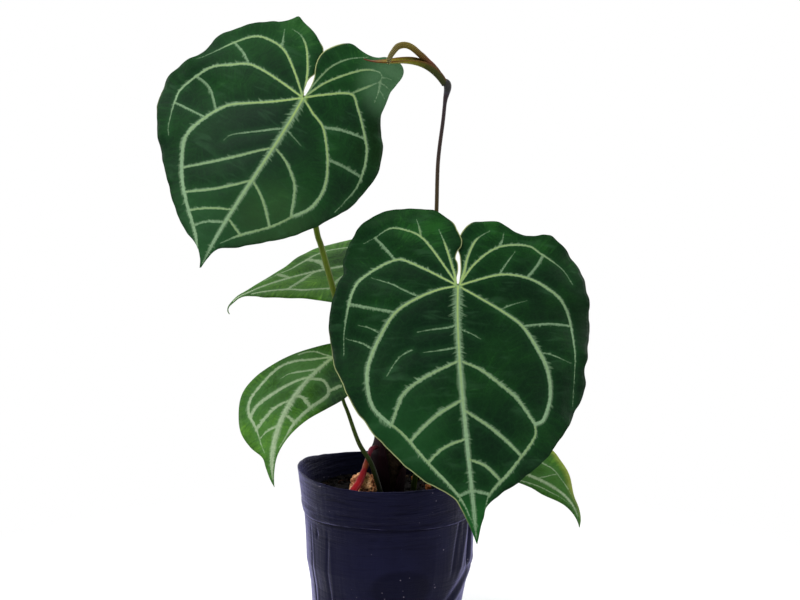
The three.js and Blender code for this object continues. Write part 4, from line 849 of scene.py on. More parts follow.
for plan in stalks:
    leaf, (wide, narrow) = plan["leaf"], plan["radius"]
    base, _, up = (v[0] for v in leafFrame(leaf, np.zeros(1)))
    end = base - up * 0.3
    start = plan.get("foot") or seatOnStem(plan["seat"])
    points = [start, *plan["route"], end - unit(np.array(plan["arrive"])) * 5, end]

    def petioleRadius(u, wide=wide, narrow=narrow):
        knee = 0.22 * min(1, max(0, (u - 0.9) / 0.05))
        foot = 0.35 * max(0, 1 - u / 0.06) ** 2
        return (wide + (narrow - wide) * u) * (1 + knee + foot)

    finished(tube(points, petioleRadius), leaf["name"] + "Petiole", "petiole",
             [petioleSkins.get(leaf["name"], petioleSkin)], leaf["node"] + "_petiole")
print("petioles made")

# Bloom

spathe = {
    "midrib": [(37.5, 0, 373.2), (22, -4, 396), (3, -12, 382), (-14, -17, 388.6)],
    "across": (0.2, -0.94, -0.24), "length": 58, "halfWidth": 6.5,
    "bend": {"left": (0, -148, -25, 0), "right": (0, -148, -25, 0)}, "wave": (0, 58),
    "left": [(6, 0), (7.2, 5), (7.4, 12), (6.6, 26), (5.2, 38), (3.6, 48), (0, 58)],
    "right": [(6, 0), (7.1, 5), (6.8, 12), (5.2, 26), (4.2, 38), (3, 48), (0, 58)],
    "tubeRadius": 2.9, "rows": 90, "columns": 10, "thickness": 0.7,
}
base, _, up = leafFrame(spathe, np.array([0, 0.5]))
bloomCentre = base[0] + up[0] * spathe["tubeRadius"]
bloomWay = unit(base[1] - base[0])


def spathePiece():
    # a grid bent over the midrib, rolled at its foot and open at its tip
    piece = primitive("grid", x_subdivisions=2 * spathe["columns"], y_subdivisions=spathe["rows"], size=2)
    k, share, _ = values(piece.data.vertices, "co", 3).T
    share = (share + 1) / 2
    place = np.zeros((len(k), 3))
    for side, here in (("left", k < -1e-6), ("right", k >= -1e-6)):
        margin, at = smoothLine(spathe[side], 0.5)
        edge, level = [np.interp(share[here] * at[-1], at, margin[:, i]) for i in range(2)]
        a = np.maximum(edge, 0.25) * np.abs(k[here])
        y = share[here] * spathe["length"]
        y = y + (level - y) * np.abs(k[here])
        lift = faceNormal(spathe, side, np.maximum(a, 0.01), y) * spathe["thickness"] / 2
        place[here] = facePoint(spathe, side, a, y) + lift
    setVertices(piece, place)
    setAttribute(piece.data, "along", share)
    setAttribute(piece.data, "toMargin", 1 - np.abs(k))
    return walled(smoothed(piece), spathe["thickness"], 0)


def spatheMaterial():
    # leathery bract: olive-yellow, darker olive where it is rolled, red-brown along its edges
    made, add = newMaterial("livingBract", 0.45, 0.1)
    blotch = add("TexNoise", add("TexCoord", out=3), 260, 4)
    body = add("ValToRGB", add("Math MULTIPLY_ADD", blotch, 0.2, add("Attribute along", out=2)),
               stops=[(0.05, "#302f2c"), (0.12, "#2c3018"), (0.34, "#383b12"), (0.54, "#6e6c16"),
                      (0.8, "#76641a"), (1, "#542e18")])
    edge = add("MapRange", add("Attribute toMargin", out=2), 0.05, 0.3, 0.6, 0)
    return linked(made, add, add("Mix RGBA", edge, body, "#5a2c1c"), blotch, 0.4, 0.1)


finished(spathePiece(), "spatheBract", "spathe", [spatheMaterial()], "spathe")

spadixPlan = {
    "route": [(34.6, -1.8, 382.8), (28.6, -4, 388.4), (22.6, -6.4, 393.2), (17.2, -9, 397.3),
              (12.6, -11.5, 398.5), (8.2, -14.2, 397.1), (5.2, -17, 393.4), (3, -19, 389.6),
              (1.9, -20.4, 385.2)],
    "stalkRadius": 1.3, "radius": 1.95, "swells": (0.3, 0.42), "roundFrom": 0.95,
    "knobRows": 1, "knobs": 13, "knobHeight": 0.24, "swell": 0.5, "step": 0.22,
}


def spadixRadius(u):
    low, high = spadixPlan["swells"]
    body = spadixPlan["stalkRadius"]
    body += (spadixPlan["radius"] - body) * eased((u - low) / (high - low))
    body += spadixPlan["swell"] * math.exp(-((u - 0.27) / 0.1) ** 2)
    past = max(0, u - spadixPlan["roundFrom"]) / (1 - spadixPlan["roundFrom"])
    return body * (1 - 0.35 * max(0, u - 0.75) / 0.25) * math.sqrt(max(0.05, 1 - past ** 2))


def knob(piece, line, at):
    # small flower buds in slanting rows, pushed out of the rod
    co, normals = values(piece.data.vertices, "co", 3) / mm, values(piece.data.vertices, "normal", 3)
    nearest = nearestOn(line, co)
    way = unit(np.gradient(line, axis=0))[nearest]
    side = unit(np.cross(way, [0.3, 1, 0.2]))
    out = co - line[nearest]
    column = np.arctan2((out * np.cross(way, side)).sum(1), (out * side).sum(1)) / (2 * math.pi)
    column = column * spadixPlan["knobs"]
    row = (at[nearest] + (out * way).sum(1)) / spadixPlan["knobRows"]
    bud = np.cos(math.pi * (column + row)) * np.cos(math.pi * (column - row))
    bud = bud * np.clip((at[nearest] / at[-1] - 0.3) / 0.1, 0, 1)
    setVertices(piece, co + normals * (bud * spadixPlan["knobHeight"])[:, None])
    setAttribute(piece.data, "bud", bud)


def spadixMaterial():
    # rod of tiny buds: olive-yellow tops with brown between them, the tops lightened as a painted
    # highlight, most towards the end of the rod
    made, add = newMaterial("livingSpadix", 0.6, 0.2)
    along = add("Attribute along", out=2)
    body = add("ValToRGB", along, stops=[(0.15, "#2c2a16"), (0.3, "#56301c"), (0.42, "#4a3410"),
                                         (0.6, "#5a5018"), (0.8, "#43380e"), (1, "#332c0e")])
    # bud tops: olive-yellow, paling towards the end of the rod as a painted highlight
    budTopsWithHighlight = add("ValToRGB", along, stops=[(0.4, "#7a6420"), (0.72, "#988a38"), (0.92, "#ccc67c")])
    top = add("MapRange", add("Attribute bud", out=2), 0.2, 0.9, 0, 0.75)
    grain = add("TexNoise", add("TexCoord", out=3), 2500)
    return linked(made, add, add("Mix RGBA", top, body, budTopsWithHighlight), grain, 0.4, 0.08)


start = bloomCentre + bloomWay * 0.2
spadixPoints = [start, start + bloomWay * 3, *spadixPlan["route"]]
spadixRod = tube(spadixPoints, spadixRadius, spadixPlan["step"], 28)
knob(spadixRod, *smoothLine(spadixPoints, spadixPlan["step"]))
finished(spadixRod, "spadixRod", "spadix", [spadixMaterial()], "spadix")

pedunclePlan = {
    "seat": 30, "radius": (1.7, 1.25), "node": 3, "nodeShare": 0.075, "nodeRound": 0.02,
    "route": [(7.2, 3, 142), (16, 8, 185), (27, 11, 235), (33, 11, 275), (34.2, 10, 291),
              (35.1, 8, 323.8), (38.2, 4, 350.8), (39.5, 2.2, 363.9)],
    # the bluish grey stop near the top of the skin, at the node, is partly its colour and partly a painted
    # reflection on its gloss
    "skin": [(0, "#3a3016"), (0.45, "#4e421e"), (0.62, "#483a20"), (0.8, "#372b26"), (0.94, "#30252a"),
             (0.965, "#35333c"), (1, "#2a2a22")],
}


def peduncleRadius(u):
    (wide, narrow), share = pedunclePlan["radius"], pedunclePlan["nodeShare"]
    plain = (wide + (narrow - wide) * u) * (1 + 0.35 * max(0, 1 - u / 0.05) ** 2)
    past = max(0, u - 1 + pedunclePlan["nodeRound"]) / pedunclePlan["nodeRound"]
    swollen = plain + (pedunclePlan["node"] - plain) * eased((u - 1 + share) / share)
    return swollen * math.sqrt(max(0.3, 1 - past ** 2))


peduncle = tube([seatOnStem(pedunclePlan["seat"]), *pedunclePlan["route"], bloomCentre - bloomWay * 2,
                 bloomCentre + bloomWay * 3.5], peduncleRadius, 0.8, 8)
finished(peduncle, "bloomPeduncle", "peduncle", [stalkMaterial("livingStalkBloom", pedunclePlan["skin"])],
         "peduncle")
print("bloom made")

# Aerial root

rootPlan = {
    "route": [(-10, -13.5, 131.8), (-12.2, -16.2, 125.5), (-14.6, -23, 119), (-17.6, -30, 113.4),
              (-21, -36, 109), (-23.4, -41, 101), (-23.8, -42, 90)],
    "angle": 230, "height": 133, "reach": (12.4, 15.6), "radius": (1.4, 2.6),
}


def rootMaterial():
    # young root: wet-looking red skin, a pink band near its start that is a painted highlight, a corky tan
    # knuckle at its start
    made, add = newMaterial("livingRootSkin", 0.38, 0.1)
    climb, blotch = climbing(add, 170, 5, 0.6)
    # the pink stop near the start is a painted highlight
    skin = add("ValToRGB", climb, stops=[
        (0.02, "#2c0a10"), (0.1, "#782c3c"), (0.2, "#5c101a"), (0.3, "#74361f"), (0.36, "#6c1018"),
        (0.6, "#900f1a"), (0.8, "#640a12")])
    return linked(made, add, skin, blotch, 0.5, 0.2)


def rootRadius(u):
    thin, thick = rootPlan["radius"]
    lumps = 0.12 * math.sin(31 * u) + 0.08 * math.sin(67 * u + 1)
    return thin + (thick - thin) * min(1, 1.6 * u) + lumps


turn = math.radians(rootPlan["angle"])
away = around(np.array(rootPlan["reach"]), turn, np.full(2, rootPlan["height"]), stemPlan["at"])
root = tube([*away, *rootPlan["route"]], rootRadius, 0.8, 7)
finished(root, "aerialRoot", "root", [rootMaterial()], "aerial_root")


# Stem and its dry sheaths

def onProfile(profile, z):
    return np.interp(z, *zip(*profile))


def stemPiece():
    # disc drawn up into rings and swelled to the profile, with leaf scars round it
    piece = primitive("circle", vertices=stemPlan["sides"], radius=1, fill_type="NGON")
    with editing(piece) as edit:
        for _ in range(stemPlan["rings"]):
            edit.extrude_region_move(TRANSFORM_OT_translate={"value": (0, 0, 1)})
        faceOutwards(edit)
    x, y, ring = values(piece.data.vertices, "co", 3).T
    low, high = stemPlan["profile"][0][0], stemPlan["profile"][-1][0]
    z = low + (high - low) * ring / stemPlan["rings"]
    angle = np.arctan2(y, x)
    scars = 0.35 * np.cos(z * 1.1 + 0.6 * np.sin(angle + 0.5)) + 0.2 * np.cos(7 * angle + 0.4 * z)
    setVertices(piece, around(onProfile(stemPlan["profile"], z) - 0.4 + scars, angle, z, stemPlan["at"]))
    return smoothed(piece, 50)


def corkMaterial(name, dark, light, scale):
    # corky bark: dull, broken into small plates with dark cracks between them
    made, add = newMaterial(name, 0.85, 0.12)
    place = add("TexCoord", out=3)
    plates = add("TexVoronoi DISTANCE_TO_EDGE", place, scale)
    rough = add("Math MULTIPLY_ADD", plates, 0.6, add("TexNoise", place, scale * 2.2, 6, 0.65))
    return linked(made, add, add("ValToRGB", rough, stops=[(0.3, dark), (0.85, light)]), rough, 0.8, 0.5)


finished(stemPiece(), "stemColumn", "stem", [corkMaterial("corkyStem", "#120b08", "#33241a", 420)], "stem")

sheathPlan = {
    "profile": [(90, 10.4), (101, 10.6), (115, 12), (128, 13), (138, 10), (146, 8)], "foot": 90,
    "halfSpan": 56, "facing": (222, 342, 102), "tips": (146, 122, 134), "thickness": 0.5,
    "rows": 46, "columns": 30,
}


def sheathPiece(facing, tip, seed):
    piece = primitive("grid", x_subdivisions=sheathPlan["columns"],
                      y_subdivisions=sheathPlan["rows"], size=2)
    across, share, _ = values(piece.data.vertices, "co", 3).T
    share = (share + 1) / 2
    z = sheathPlan["foot"] + (tip - sheathPlan["foot"]) * share
    span = math.radians(sheathPlan["halfSpan"]) * np.sqrt(np.maximum(0.0004, 1 - share ** 2))
    frill = np.abs(across) ** 3 * (0.5 * np.sin(z / 2.6 + seed + 3 * across) + 0.7 * share)
    radius = onProfile(sheathPlan["profile"], z) - 0.3 + frill
    setVertices(piece, around(radius, math.radians(facing) + span * across, z, stemPlan["at"]))
    setAttribute(piece.data, "across", across)
    setAttribute(piece.data, "along", share)
    return walled(smoothed(piece), sheathPlan["thickness"], -1)


def sheathMaterial():
    # dry scale leaf: papery maroon going brown at its tip and edges, with long fibres
    made, add = newMaterial("dryScaleLeaf", 0.6, 0.05)
    across, along = add("Attribute across", out=2), add("Attribute along", out=2)
    where = add("VectorMath MULTIPLY", add("CombineXYZ", across, along), (26, 2, 1))
    fibre = add("TexNoise", where, 1, 4)
    skin = add("ValToRGB", add("Math MULTIPLY_ADD", along, 0.35, fibre),
               stops=[(0.3, "#060203"), (0.6, "#0e0409"), (0.85, "#1c080f"), (1, "#28120d")])
    return linked(made, add, skin, fibre, 0.6, 0.3)


sheathSkin = sheathMaterial()
for k, (facing, tip) in enumerate(zip(sheathPlan["facing"], sheathPlan["tips"])):
    finished(sheathPiece(facing, tip, k), f"stemSheath{k + 1}", "dry_sheath", [sheathSkin],
             f"stem_sheath_{k + 1}")
print("stem made")


# Clay chunk, bark chips and potting mix

chunkPlan = {"at": (-15.2, -17.4, 108), "size": (9.2, 7.8, 9.4)}


def chunkPiece():
    piece = primitive("ico_sphere", subdivisions=6, radius=1)
    n = unit(values(piece.data.vertices, "co", 3))
    x, y, z = n.T
    dents = 0.09 * np.sin(4.1 * x + 2) * np.cos(3.7 * y) + 0.07 * np.sin(6.3 * z + 3.1 * x)
    pit = np.exp(-(np.array([noise.voronoi(Vector(p) * 4.2)[0][0] for p in n]) / 0.3) ** 2)
    grown = n * (1 + dents + 0.12 * noisy(n * 3.2, 0.5, 2.1, 6) - 0.15 * pit)[:, None]
    setVertices(piece, grown * chunkPlan["size"] + chunkPlan["at"])
    setAttribute(piece.data, "pit", pit)
    return smoothed(piece)


def clayMaterial():
    # baked clay pebble broken open: chalky ochre, porous, with darker wet patches, and dark holes where its
    # pits are darkened as painted shade
    made, add = newMaterial("bakedClay", 0.9, 0.25, 1.5)
    place = add("TexCoord", out=3)
    pore = add("TexNoise", place, 900, 3)
    toned = add("Math MULTIPLY_ADD", pore, 0.4, add("TexNoise", place, 190, 5, 0.65))
    body = add("ValToRGB", toned, stops=[(0.5, "#66321e"), (0.62, "#ae6c46"), (0.78, "#d6a074"),
                                         (0.92, "#eac09a")])
    # painted shade: the pits are darkened
    dark = add("MapRange", add("Attribute pit", out=2), 0.25, 0.85, 0, 0.9)
    return linked(made, add, add("Mix RGBA", dark, body, "#2a170c"), toned, 0.9, 0.5)


finished(chunkPiece(), "clayChunk", "baked_clay", [clayMaterial()], "clay_chunk")

chipPlans = [
    {"at": (22, 32, 101.4), "size": (4.6, 2.2, 2), "turn": 15, "seed": 0},
    {"at": (29, 9, 101), "size": (3.6, 2, 1.8), "turn": 100, "seed": 7},
]
barkSkin = corkMaterial("pineBark", "#3a1c0c", "#b8703a", 500)


def chipPiece(plan):
    # split splinter: a cube cut fine, its ends broken and its faces torn along the grain
    piece = primitive("cube", size=2)
    with editing(piece) as edit:
        edit.subdivide(number_cuts=18, smoothness=0)
    co = values(piece.data.vertices, "co", 3)
    torn = noisy(co * (1.2, 4, 4) + (0, 0, plan["seed"]), 0.7, 2, 4)
    taper = 1 - 0.35 * co[:, 0] ** 2
    co = co * np.stack([0.92 + 0.1 * torn, taper * (0.85 + 0.22 * torn), taper * (0.85 + 0.25 * torn)], 1)
    turned = np.array(Matrix.Rotation(math.radians(plan["turn"]), 3, "Z"))
    setVertices(piece, co * plan["size"] @ turned.T + plan["at"])
    return smoothed(piece, 40)


for k, plan in enumerate(chipPlans):
    finished(chipPiece(plan), f"barkChip{k + 1}", "bark", [barkSkin], f"bark_chip_{k + 1}")

potPlan = {
    "height": 115, "cuffDepth": 26, "cuffProud": 0.55, "film": 0.35, "sides": 360,
    "profile": [(0, 48), (6, 49.4), (25, 51.4), (42, 53.6), (57, 56.4), (74, 57.2), (89, 58), (115, 59.8)],
    "bulge": 2.3, "slack": 0.5, "rimLift": 4.5, "floor": (0.02, 0.25, 0.5, 0.75, 0.9, 0.97),
}


def bagRadius(angle, z):
    rise = np.clip((z - 20) / (potPlan["height"] - 20), 0, 1)
    slack = potPlan["slack"] * np.cos(5 * angle + 1) * np.sin(math.pi * z / potPlan["height"])
    full = potPlan["bulge"] * np.sin(math.pi * rise) * np.cos(angle)
    return onProfile(potPlan["profile"], z) + full + slack


def rimHeight(angle, z):
    low = potPlan["height"] - 1.4 * potPlan["cuffDepth"]
    t = np.clip((z - low) / (potPlan["height"] - low), 0, 1)
    return z + potPlan["rimLift"] * np.maximum(0, -np.cos(angle)) ** 3 * t * t * (3 - 2 * t)


mixPlan = {
    "level": 98.5, "crown": 2, "relief": 1.1, "gap": 1.6, "sides": 160, "rings": 70, "crumbs": 420,
    "crumbGap": 2.5, "crumbSize": (0.7, 2), "largeEvery": 9, "large": 1.6, "clods": 1.1, "sunk": 0.4,
    "seed": 11, "below": [(1.5, 0), (15, 1.5), (35, 4), (40, 3)], "width": 57,
    "clear": [(*stemPlan["at"], 13.5), (*chunkPlan["at"][:2], 10)],
}


def mixHeight(angle, share):
    lumps = np.cos(3 * angle + 5 * share) + np.cos(7 * angle - 9 * share) * share
    return mixPlan["level"] + mixPlan["crown"] * (1 - share ** 2) + mixPlan["relief"] * lumps * share


def mixPiece():
    # disc of fine mix filled down to the base, with loose crumbs of bark and peat lying on it
    ground = primitive("circle", vertices=mixPlan["sides"], radius=1, fill_type="NGON")
    with editing(ground) as edit:
        for k in range(mixPlan["rings"]):
            left = mixPlan["rings"] + 0.2 - k
            edit.extrude_region_move(TRANSFORM_OT_translate={"value": (0, 0, 0)})
            bpy.ops.transform.resize(value=(1 - 1 / left, 1 - 1 / left, 1))
        faceOutwards(edit)
    x, y, _ = values(ground.data.vertices, "co", 3).T
    share, angle = np.hypot(x, y), np.arctan2(y, x)
    radius = share * (bagRadius(angle, mixPlan["level"]) - mixPlan["gap"])
    clods = mixPlan["clods"] * noisy(around(radius, angle, np.zeros(len(x))) * 0.16, 0.75, 2, 6)
    setVertices(ground, around(radius, angle, mixHeight(angle, share) + clods - mixPlan["sunk"]))
    smoothed(ground)
    with editing(ground) as edit:
        edit.select_all(action="DESELECT")
        edit.select_mode(type="EDGE")
        edit.select_non_manifold(extend=False, use_boundary=True, use_wire=False, use_multi_face=False,
                                 use_non_contiguous=False, use_verts=False)
        for drop, inset in mixPlan["below"]:
            shrink = 1 - inset / mixPlan["width"]
            edit.extrude_region_move(TRANSFORM_OT_translate={"value": (0, 0, -drop * mm)})
            bpy.ops.transform.resize(value=(shrink, shrink, 1), center_override=(0, 0, 0))
        edit.edge_face_add()
        faceOutwards(edit)

    random.seed(mixPlan["seed"])
    crumbs = []
    for k in range(mixPlan["crumbs"]):
        large = k % mixPlan["largeEvery"] == 0
        angle = random.uniform(0, 2 * math.pi)
        share = math.sqrt(random.uniform(0.03, 0.93))
        size = random.uniform(*mixPlan["crumbSize"]) * (mixPlan["large"] if large else 1)
        reach = (bagRadius(angle, mixPlan["level"]) - mixPlan["crumbGap"] - size) * share
        x, y = reach * math.cos(angle), reach * math.sin(angle)
        if any(math.hypot(x - atX, y - atY) < clear for atX, atY, clear in mixPlan["clear"]):
            continue
        crumb = primitive("ico_sphere", subdivisions=2 if large else 1, radius=1)
        long, wide = random.uniform(0.9, 1.9), random.uniform(0.6, 1)
        turn, tip = random.uniform(0, math.pi), random.uniform(-0.5, 0.5)
        co = unit(values(crumb.data.vertices, "co", 3))
        bumpy = noisy(co * 1.7 + (k * 3.1, 0, 0))
        co = co * (1 + 0.42 * bumpy)[:, None] * (long, wide, 0.6) * size
        turned = np.array(Matrix.Rotation(turn, 3, "Z") @ Matrix.Rotation(tip, 3, "Y"))
        setVertices(crumb, co @ turned.T + (x, y, mixHeight(angle, share) + 0.25 * size))
        setAttribute(crumb.data, "kind", np.full(len(co), random.random()))
        crumbs.append(crumb)
    onlySelect(ground)
    for crumb in crumbs:
        crumb.select_set(True)
    bpy.ops.object.join()
    return ground


def mixMaterial():
    # peat and fine bark: damp and dark, crumbly, with browner bits and a few pale grains; its colours are
    # darkened almost to black as painted shade, for the shade over the mix inside the pot
    made, add = newMaterial("dampPottingMixPaintedShade", 0.85, 0.12, 1.4)
    place, kind = add("TexCoord", out=3), add("Attribute kind", out=2)
    grains = add("SeparateColor", add("TexVoronoi", place, 700, out=1))
    fine = add("TexNoise", place, 900, 5, 0.7)
    toned = add("Math MULTIPLY_ADD", grains, 0.5, fine)
    ground = add("ValToRGB", toned, stops=[(0.35, "#040302"), (0.7, "#0a0605"), (0.95, "#150d09"),
                                           (1, "#2c2018")])
    bark = add("ValToRGB", kind, stops=[(0, "#080403"), (0.6, "#0e0805"), (0.85, "#1c1009"),
                                        (0.96, "#4a2a14"), (0.99, "#7a6a50")])
    mixed = add("Mix RGBA", add("MapRange", kind, 0, 0.02, 0, 0.8), ground, bark)
    return linked(made, add, add("Mix RGBA MULTIPLY", 1, mixed, fine), toned, 0.9, 0.6)


finished(mixPiece(), "pottingMix", "potting_mix", [mixMaterial()], "potting_mix")
print("potting mix made")


# Nursery bag pot

creases = [
    # angle in degrees, lowest and highest height, depth (out is positive), half width in degrees,
    # and how far it wanders round the pot in degrees for each mm of height
    (208, 4, 88, -0.6, 0.9, 0), (211, 10, 86, 0.35, 1.6, 0), (226, 0, 87, -0.55, 0.9, 0.02),
    (229, 5, 80, 0.35, 1.5, 0.02), (240, 2, 50, -0.2, 1.2, 0), (303, 40, 84, 0.2, 1.1, 0),
    (319, 50, 96, -0.6, 1.5, 0.16), (327, 48, 92, 0.7, 2.4, 0.16), (338, 52, 106, -1.6, 1.6, 0.03),
    (342, 48, 100, 0.6, 2.0, 0.03), (307, 26, 60, -0.8, 5, 1.25), (317, 26, 62, 0.8, 6, 1.25),
    (352, 10, 86, -0.6, 1.8, 0), (20, 5, 84, -0.6, 1.4, 0.05), (28, 5, 84, 0.4, 1.8, 0.05),
    (55, 0, 80, 0.6, 2, 0), (88, 6, 70, -0.6, 1.2, -0.05), (118, 10, 86, -0.7, 1.3, 0),
    (122, 10, 86, 0.4, 1.8, 0), (150, 4, 78, 0.5, 1.8, 0.08), (172, 0, 88, -0.7, 1.2, 0),
]
dents = [
    # angle, height, depth, half width in degrees, half height: a soft hollow and a nicked slot
    (287, 20, -2.8, 17, 12), (217, 81, -0.9, 0.9, 2.6), (30, 45, -1.2, 20, 24), (140, 40, -1.4, 24, 20),
]


def filmFolds(angle, z):
    # creases down the side and soft hollows in it
    def bell(where, half, more=0):
        gap = (np.degrees(angle) - where + 180) % 360 - 180
        return np.exp(-(gap / half) ** 2 - more ** 2)

    out = np.zeros_like(z)
    for where, low, high, depth, half, slope in creases:
        fade = np.clip((z - low) / 9, 0, 1) * np.clip((high - z) / 7, 0, 1)
        out += depth * fade * bell(where + slope * (z - low) + 0.7 * np.sin(z / 11 + where), half)
    for where, middle, depth, half, tall in dents:
        out += depth * bell(where, half, (z - middle) / tall)
    return out


def potPiece():
    # one sheet: floor, side up to the rim, over it and down as a cuff, with its wall added at the end
    height, hem = potPlan["height"], potPlan["height"] - potPlan["cuffDepth"]
    sideHeights = (0, 0.5, 1.4, 2.8, *np.arange(4.5, height - 1, 1.25), height - 0.4)
    rings = [(share, 0, 0) for share in potPlan["floor"]]
    rings += [(1, z, 0) for z in sideHeights]
    rings += [(1, height, 0.5), (1, height - 0.4, 1)]
    rings += [(1, z, 1) for z in np.arange(height - 1.2, hem - 0.1, -1)]
    piece = primitive("circle", vertices=potPlan["sides"], radius=potPlan["floor"][0], fill_type="NGON")
    with editing(piece) as edit:
        for _ in rings[1:]:
            edit.extrude_region_move(TRANSFORM_OT_translate={"value": (0, 0, 1)})
        edit.delete(type="ONLY_FACE")
    x, y, ring = values(piece.data.vertices, "co", 3).T
    angle = np.arctan2(y, x)
    share, level, cuff = np.array(rings, float)[np.round(ring).astype(int)].T
    nearHem = np.exp(-((level - 93) / 9) ** 2)
    ripple = (0.06 + 0.45 * nearHem) * noisy(around(2.2, angle, level / 2.6), 0.8, 2, 4)
    soft = 0.5 * noisy(around(1.9, angle, level / 24))
    folds = filmFolds(angle, level) * np.where(cuff > 0, 0.25, 1)
    radius = share * bagRadius(angle, level) - 0.3 * (share == 1) + potPlan["cuffProud"] * cuff
    radius += np.clip(level / 12, 0, 1) * (folds + ripple + soft)
    z = rimHeight(angle, level) + 0.2 * (1 - share)
    z += 0.9 * np.sin(3 * angle + 0.6) * (height - level) / potPlan["cuffDepth"] * cuff
    z += 0.5 * noisy(around(7, angle, np.full(len(z), 3))) * np.clip((level - height + 6) / 6, 0, 1)
    setVertices(piece, around(radius, angle, z))
    setAttribute(piece.data, "level", level)
    with editing(piece) as edit:
        faceOutwards(edit)
    return walled(smoothed(piece), potPlan["film"], 0)


def filmMaterial():
    # blown polyethylene film: black with a blue cast, satin, fine level stretch lines that crowd
    # under the folded rim with painted shade in their grooves, dust specks, and a lilac tint painted where
    # the film turns away, as a painted reflection of the bright surroundings
    made, add = newMaterial("blackPolyFilm", 0.4, 0.07, 1.5, **{
        "Specular Tint": colour("#a9a8f0"), "Sheen Roughness": 0.3, "Sheen Tint": colour("#a8a4e4")})
    place, level = add("TexCoord", out=3), add("Attribute level", out=2)
    drift = add("TexNoise", place, 16, 2, out=1)
    warped = add("VectorMath MULTIPLY_ADD", drift, (0, 0, 0.012), place)
    lines = add("TexNoise", add("VectorMath MULTIPLY", warped, (1, 1, 14)), 34, 4, 0.62)
    draws = add("TexNoise", add("VectorMath MULTIPLY", place, (1, 1, 0.07)), 300, 3)
    cloud = add("TexNoise", place, 28, 3)
    body = add("ValToRGB", cloud, stops=[(0.3, "#0f0f1d"), (0.7, "#15162b")])
    # lilac towards grazing angles: a painted reflection of the bright surroundings
    bloom = add("MapRange SMOOTHSTEP", add("LayerWeight", 0.5, out=1), 0.45, 1, 0, 0.75)
    nearHem = add("MapRange", level, 70, 90, 0.3, 1)
    # painted shade: darker in the grooves of the stretch lines, more so near the hem
    wrinkleShade = add("Math MULTIPLY", add("MapRange", lines, 0.34, 0.46, 0.6, 0), nearHem)
    # the lower edge of the cuff lies close to the side, in its own shadow
    under = add("Math ADD", level, potPlan["cuffDepth"] - potPlan["height"])
    seam = add("MapRange", add("Math ABSOLUTE", under), 0.3, 1.4, 0.6, 0)
    sheen = add("MapRange", seam, 0, 0.6, 0.34, 0.02)
    # painted shade: darker in the hollow low on the front
    hollow = add("VectorMath MULTIPLY_ADD", place, (1, 0.5, 1.5), (-0.011, 0.038, -0.074))
    sunk = add("MapRange SMOOTHSTEP", add("VectorMath LENGTH", hollow), 0.02, 0.026, 0.6, 0)
    dot = add("MapRange", add("TexVoronoi", place, 190), 0.05, 0.12, 0.5, 0)
    chance = add("TexNoise", place, 60)
    dots = add("Math MULTIPLY", dot, add("MapRange", chance, 0.54, 0.6, 0, 1))
    tint = add("Mix RGBA", bloom, body, "#5a588a")
    for share, code in ((wrinkleShade, "#05050c"), (seam, "#05050c"), (sunk, "#05050c"), (dots, "#8c8494")):
        tint = add("Mix RGBA", share, tint, code)
    # smoother and shinier in short stretches along the fold
    patchy = add("MapRange", chance, 0.5, 0.6, 0, -0.24)
    shine = add("Math MULTIPLY", add("MapRange", level, 111, 114, 0, 1), patchy)
    polish = add("Math ADD", add("MapRange", cloud, 0.3, 0.7, 0.34, 0.48), shine)
    rise = add("Math MULTIPLY_ADD", draws, 0.3, add("Math MULTIPLY", lines, nearHem))
    return linked(made, add, tint, rise, 0.8, 1.3, Roughness=polish, **{"Sheen Weight": sheen})


finished(potPiece(), "nurseryBagPot", "pot_film", [filmMaterial()], "nursery_bag_pot")
print("pot made")


# Stage: pale floor that runs out to white, soft lights and the camera

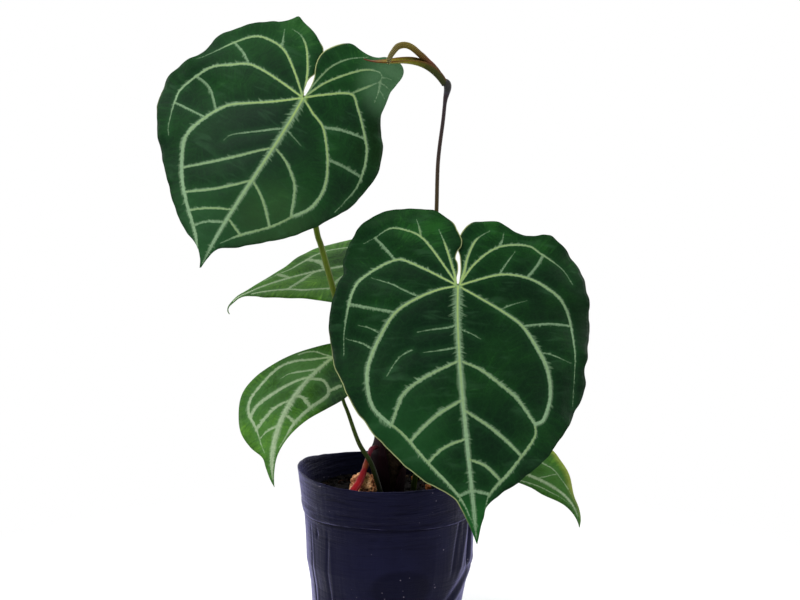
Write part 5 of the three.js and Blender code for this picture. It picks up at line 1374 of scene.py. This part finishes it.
floor = primitive("circle", vertices=96, radius=30, fill_type="NGON", location=(0, 0, -0.4 * mm))
floor.name = "studioFloor"
onlySelect(floor)
bpy.ops.object.transform_apply(location=True, rotation=True, scale=True)
paper, add = newMaterial("studioPaper", 0.9, 0.1, 1.5, **{"Base Color": colour("#f8f8f9")})
share = add("MapRange SMOOTHSTEP", add("VectorMath LENGTH", add("TexCoord", out=3)), 0.1, 0.42, 0, 1)
paperNodes = paper.node_tree.nodes
glow = add("Emission", (1, 1, 1, 1), 1)
surface = add("MixShader", share, paperNodes["Principled BSDF"].outputs[0], glow)
paper.node_tree.links.new(surface, paperNodes["Material Output"].inputs["Surface"])
floor.data.materials.append(paper)

scene = bpy.context.scene
air = bpy.data.worlds.new("studioAir")
scene.world = air
air.use_nodes = True
add = partial(addNode, air.node_tree)
# white behind the object, and dimmer towards the front so that glossy fronts stay dark
facing = add("SeparateXYZ", add("TexCoord"), out=1)
dim = add("MapRange SMOOTHSTEP", facing, -0.9, 0.25, 0.16, 0.8)
background = air.node_tree.nodes["Background"].inputs
air.node_tree.links.new(add("Math MAXIMUM", add("LightPath"), dim), background["Strength"])
background["Color"].default_value = (1, 1, 1, 1)
scene.view_settings.view_transform = "Standard"

softLights = {
    "keySoftbox": {"at": (-0.6, -0.75, 1.5), "size": 0.8, "power": 19},
    "fillSoftbox": {"at": (1, -0.9, 0.5), "size": 0.8, "power": 3.4},
    "leftEdgeSoftbox": {"at": (-1.3, 0.5, 0.5), "size": 1, "power": 10},
    "rightEdgeSoftbox": {"at": (1.3, 0.6, 0.5), "size": 1, "power": 8},
    "topSoftbox": {"at": (0, 0.2, 1.7), "size": 1.2, "power": 9},
}
lightsAim = Vector((0, 0, 0.22))
for name, plan in softLights.items():
    bpy.ops.object.light_add(type="AREA", location=plan["at"])
    light = bpy.context.object
    light.name = name
    light.data.shape = "SQUARE"
    light.data.size = plan["size"]
    light.data.energy = plan["power"]
    light.rotation_euler = (lightsAim - light.location).to_track_quat("-Z", "Y").to_euler()

cameraPlan = {"at": (0.0095, -0.7447, 0.2938), "down": 4.8, "lens": 50, "sensor": 36}
bpy.ops.object.camera_add(location=cameraPlan["at"], rotation=(math.radians(90 - cameraPlan["down"]), 0, 0))
camera = bpy.context.object
camera.name = "photoCamera"
camera.data.lens = cameraPlan["lens"]
camera.data.sensor_width = cameraPlan["sensor"]
scene.camera = camera
print("stage set")
